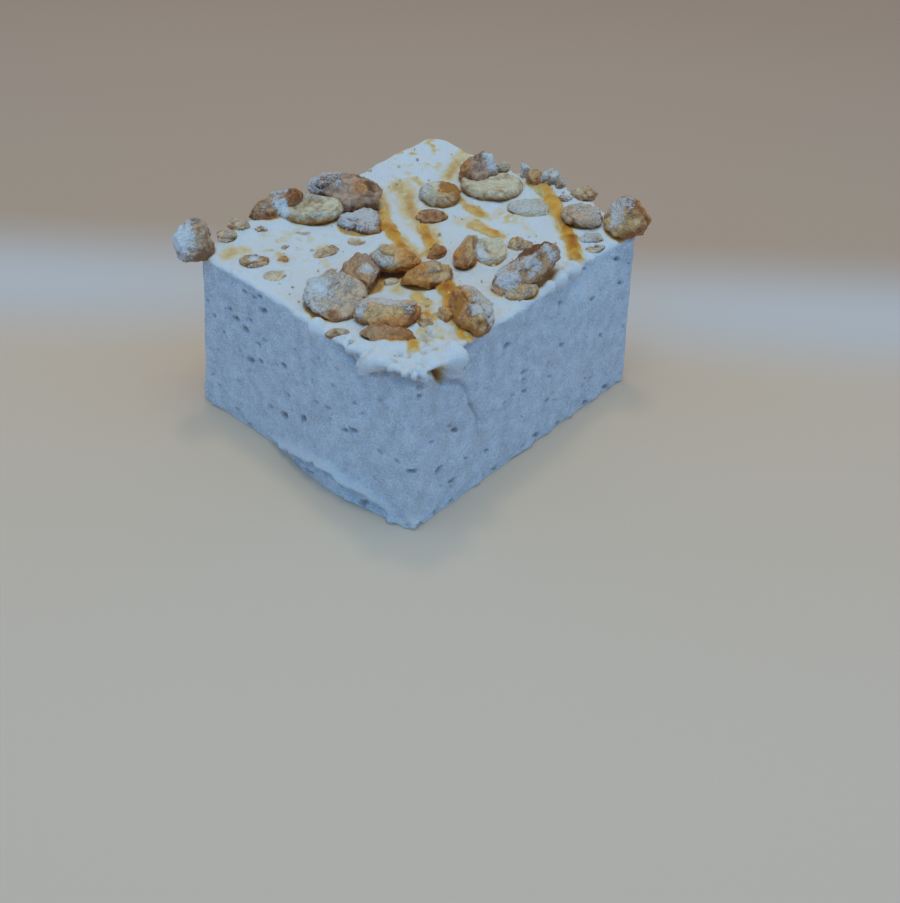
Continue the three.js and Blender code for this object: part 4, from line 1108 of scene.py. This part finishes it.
# %% The peanuts' materials
def dusted_peanut(name, light, deep):
    """Two roast colours by the roast and noise, then amber by the glaze and white specks by the powder.

    The roast also carries the painted shade at each piece's foot and in its creases.
    """
    material, tree, shader, place = new_finish(name)
    powder, glaze, given = [add(tree, "Attribute", attribute_name=key).outputs["Fac"]
                            for key in ("powder", "glaze", "roast_and_shade")]

    blotches = add(tree, "TexNoise", {"Scale": scale_for(1.2), "Detail": 5.0, "Roughness": 0.7},
                   {"Vector": place})
    spread = add(tree, "Math", {1: 3.0, 2: -1.5}, {0: blotches}, operation="MULTIPLY_ADD")
    roast_and_shade = add(tree, "Math", links={0: spread, 1: given}, operation="ADD", use_clamp=True)
    nut = add(tree, "Mix", {FIRST: light, SECOND: deep}, {SHARE: roast_and_shade}, data_type="RGBA")
    coated = add(tree, "MapRange", {"From Min": 0.3, "From Max": 0.7}, {"Value": glaze})
    glazed = add(tree, "Mix", {SECOND: "#f6cc88"}, {SHARE: coated, FIRST: nut},
                 data_type="RGBA", blend_type="MULTIPLY")
    thick = add(tree, "MapRange", {"From Min": 0.75, "From Max": 1.25}, {"Value": glaze})
    soaked = add(tree, "Mix", {SECOND: "#c27c2c"}, {SHARE: thick, FIRST: glazed}, data_type="RGBA")

    grains = add(tree, "TexNoise", {"Scale": scale_for(0.4), "Detail": 3.0}, {"Vector": place})
    clumps = add(tree, "TexNoise", {"Scale": scale_for(1.2), "Detail": 3.0}, {"Vector": place})
    both = add(tree, "Math", {1: 0.8}, {0: clumps, 2: grains}, operation="MULTIPLY_ADD")
    dry = add(tree, "Math", {1: -0.3}, {0: glaze, 2: powder}, operation="MULTIPLY_ADD")
    level = add(tree, "Math", {1: 0.75}, {0: dry, 2: both}, operation="MULTIPLY_ADD")
    veil = add(tree, "MapRange", {"From Min": 1.20, "From Max": 1.33, "To Max": 0.62}, {"Value": level})
    crust = add(tree, "MapRange", {"From Min": 1.40, "From Max": 1.75, "To Max": 0.36}, {"Value": level})
    dust = add(tree, "Math", links={0: veil, 1: crust}, operation="ADD")
    dusted = add(tree, "Mix", {SECOND: "#ebe8e4"}, {SHARE: dust, FIRST: soaked}, data_type="RGBA")

    smooth = add(tree, "MapRange", {"To Min": 0.32, "To Max": 0.12}, {"Value": glaze})
    matte = add(tree, "Mix", {3: 0.9}, {SHARE: dust, 2: smooth})
    relief = add(tree, "Math", {1: 0.6}, {0: dust, 2: both}, operation="MULTIPLY_ADD")
    bump = add(tree, "Bump", {"Distance": 0.5 * MM, "Strength": 0.9}, {"Height": relief})
    gloss = add(tree, "Math", {1: 0.45}, {0: coated}, operation="MULTIPLY")
    fill(tree, shader,
         {"Coat Roughness": 0.08, "IOR": 1.46, "Subsurface Weight": 0.12,
          "Subsurface Radius": (1.0, 0.6, 0.3), "Subsurface Scale": 0.8 * MM},
         {"Base Color": dusted, "Roughness": matte, "Normal": bump, "Coat Weight": gloss})
    return material


PEANUT_FINISHES = {
    "peanut_floury": dusted_peanut("roasted_peanut_floury", "#ecc8a4", "#9a6c46"),
    "peanut_pale": dusted_peanut("blanched_peanut_inner_face", "#f6e2bc", "#c0905a"),
    "peanut_brown": dusted_peanut("roasted_peanut_dark", "#e2ac7a", "#824c28"),
    "peanut_grey": dusted_peanut("roasted_peanut_skin_dusted", "#e0b08c", "#785440"),
    "peanut_tan": dusted_peanut("roasted_peanut_tan", "#fac88a", "#ac6c30"),
}
for nut in nut_pieces:
    nut.data.materials.append(PEANUT_FINISHES[nut["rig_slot"]])
mixed_peanut = dusted_peanut("roasted_peanut_chips", "#f8dab0", "#b0743c")
chips.data.materials.append(mixed_peanut)
crumbs.data.materials.append(mixed_peanut)

# %% [markdown]
# ### Boiled sugar caramel
#
# Caramel is sugar, cream and butter boiled until it browns. It is clear enough to be pale where
# thin and deep amber where thick, and its skin sets wet and glossy: a sharp coat over a softer
# body gives that.


# %% The caramel's material
def boiled_caramel():
    """Colour by the dome's height, from pale yellow through amber to dark brown, under a coat."""
    material, tree, shader, place = new_finish("boiled_sugar_caramel")
    depth = add(tree, "Attribute", attribute_name="depth").outputs["Fac"]
    swirl = add(tree, "TexNoise", {"Scale": scale_for(2.2), "Detail": 3.0}, {"Vector": place})
    shifted = add(tree, "Math", {1: 0.9, 2: -0.4}, {0: swirl}, operation="MULTIPLY_ADD")
    level = add(tree, "Math", links={0: depth, 1: shifted}, operation="ADD")
    thin = add(tree, "MapRange", {"From Min": 0.0, "From Max": 0.6}, {"Value": level})
    colour = add(tree, "Mix", {FIRST: "#fbdb9c", SECOND: "#f0a83c"}, {SHARE: thin}, data_type="RGBA")
    for low, high, tint in [(0.6, 1.1, "#b4621a"), (1.1, 1.4, "#6e3a16")]:
        share = add(tree, "MapRange", {"From Min": low, "From Max": high}, {"Value": level})
        colour = add(tree, "Mix", {SECOND: tint}, {SHARE: share, FIRST: colour}, data_type="RGBA")
    wrinkles = add(tree, "TexNoise", {"Scale": scale_for(1.1), "Detail": 1.0}, {"Vector": place})
    bump = add(tree, "Bump", {"Distance": 0.5 * MM, "Strength": 0.8}, {"Height": wrinkles})
    fill(tree, shader,
         {"Roughness": 0.25, "IOR": 1.47, "Specular IOR Level": 0.15, "Coat Weight": 0.6,
          "Coat Roughness": 0.05, "Subsurface Weight": 0.25, "Subsurface Radius": (1.0, 0.45, 0.15),
          "Subsurface Scale": 1.0 * MM},
         {"Base Color": colour, "Normal": bump})
    return material


caramel.data.materials.append(boiled_caramel())
print("finishes:", [material.name for material in bpy.data.materials])

# %% [markdown]
# ## Floor, light and camera
#
# The square stands on a pale card, with a lighter band painted across it as a highlight and a
# darker, warmer tan behind, partly its tint and partly painted shade. A large soft light hangs
# overhead, and a cool sky, warmer far behind, fills the sides, so that the top is about twice as
# bright as the walls. A small lamp above and behind gives the caramel its glints. The camera
# looks down at the front corner.


# %% The floor
def pale_card():
    """Matte card that turns from neutral in front to a lighter band, then to a warmer tan.

    The band is a painted highlight, and the darker tan behind is partly the card's tint and partly
    painted shade.
    """
    material, tree, shader, place = new_finish("pale_matte_card")
    away = add(tree, "VectorMath", {1: AWAY.tolist()}, {0: place}, operation="DOT_PRODUCT")
    share = add(tree, "MapRange", {"From Min": -100 * MM, "From Max": 300 * MM}, {"Value": away})
    tones_and_painted_light = add(tree, "ValToRGB", links={"Fac": share})
    stops = [(0.0, "#f0d4ba"), (0.26, "#ecccae"), (0.33, "#e4d6cc"), (0.41, "#d2ae90"), (1.0, "#c99d7d")]
    for number, (position, colour) in enumerate(stops):
        stop = tones_and_painted_light.color_ramp.elements[number] if number < 2 else tones_and_painted_light.color_ramp.elements.new(position)
        stop.position = position
        stop.color = linear(colour)
    tones_and_painted_light.color_ramp.interpolation = "EASE"
    fill(tree, shader, {"Roughness": 0.9}, {"Base Color": tones_and_painted_light})
    return material


FLOOR_HALF = 900.0
floor_points = FLOOR_HALF * MM * np.array([(-1, -1, 0), (1, -1, 0), (1, 1, 0), (-1, 1, 0)])
floor_mesh = bpy.data.meshes.new("floor")
floor_mesh.from_pydata(floor_points.tolist(), [], [(0, 1, 2, 3)])
floor = placed("floor", floor_mesh)
floor.data.materials.append(pale_card())
print("floor:", 2 * FLOOR_HALF, "mm wide")

# %% The lights
world = bpy.data.worlds.new("soft_studio")
world.use_nodes = True
sky_tree = world.node_tree
direction = add(sky_tree, "TexCoord").outputs["Generated"]
facing = add(sky_tree, "VectorMath", {1: AWAY.tolist()}, {0: direction}, operation="DOT_PRODUCT")
warm_share = add(sky_tree, "MapRange", {"From Min": 0.1, "From Max": 0.6}, {"Value": facing},
                 interpolation_type="SMOOTHSTEP")
tints = add(sky_tree, "Mix", {FIRST: "#8fc6ff", SECOND: "#9c9086"}, {SHARE: warm_share}, data_type="RGBA")
fill(sky_tree, sky_tree.nodes["Background"], {"Strength": 0.9}, {"Color": tints})
bpy.context.scene.world = world

# One row is one lamp: name, size and power, colour, place in metres, and its two tilts in degrees.
LAMPS = [
    ("overhead_softbox", 0.30, 0.58, "#fff5a1", (-0.02, -0.03, 0.62), (0, 0)),
    ("glint_lamp", 0.08, 0.27, "#fff8d8", (0.10, 0.12, 0.60), (-11, 9)),
]
for name, size, power, colour, location, tilts in LAMPS:
    lamp = bpy.data.lights.new(name, "AREA")
    lamp.shape = "DISK"
    lamp.size, lamp.energy, lamp.color = size, power, linear(colour)[:3]
    lamp_object = placed(name, lamp)
    lamp_object.location = location
    lamp_object.rotation_euler = (*np.radians(tilts), 0)
bpy.context.scene.view_settings.view_transform = "Standard"
print("lamps:", [row[0] for row in LAMPS])

# %% The camera
HEADING, TILT, ROLL = -50.12, 50.49, 2.58
camera_data = bpy.data.cameras.new("camera")
camera_data.lens = 49.5
camera_data.sensor_width = 36.0
camera = placed("camera", camera_data)
stand = Matrix.Translation((-0.1463, -0.1312, 0.1457))
turn = Matrix.Rotation(np.radians(HEADING), 4, "Z") @ Matrix.Rotation(np.radians(TILT), 4, "X")
camera.matrix_world = stand @ turn @ Matrix.Rotation(np.radians(ROLL), 4, "Z")
bpy.context.scene.camera = camera
print("camera:", camera_data.lens, "mm lens, turned", HEADING, "and tilted", TILT, "degrees")
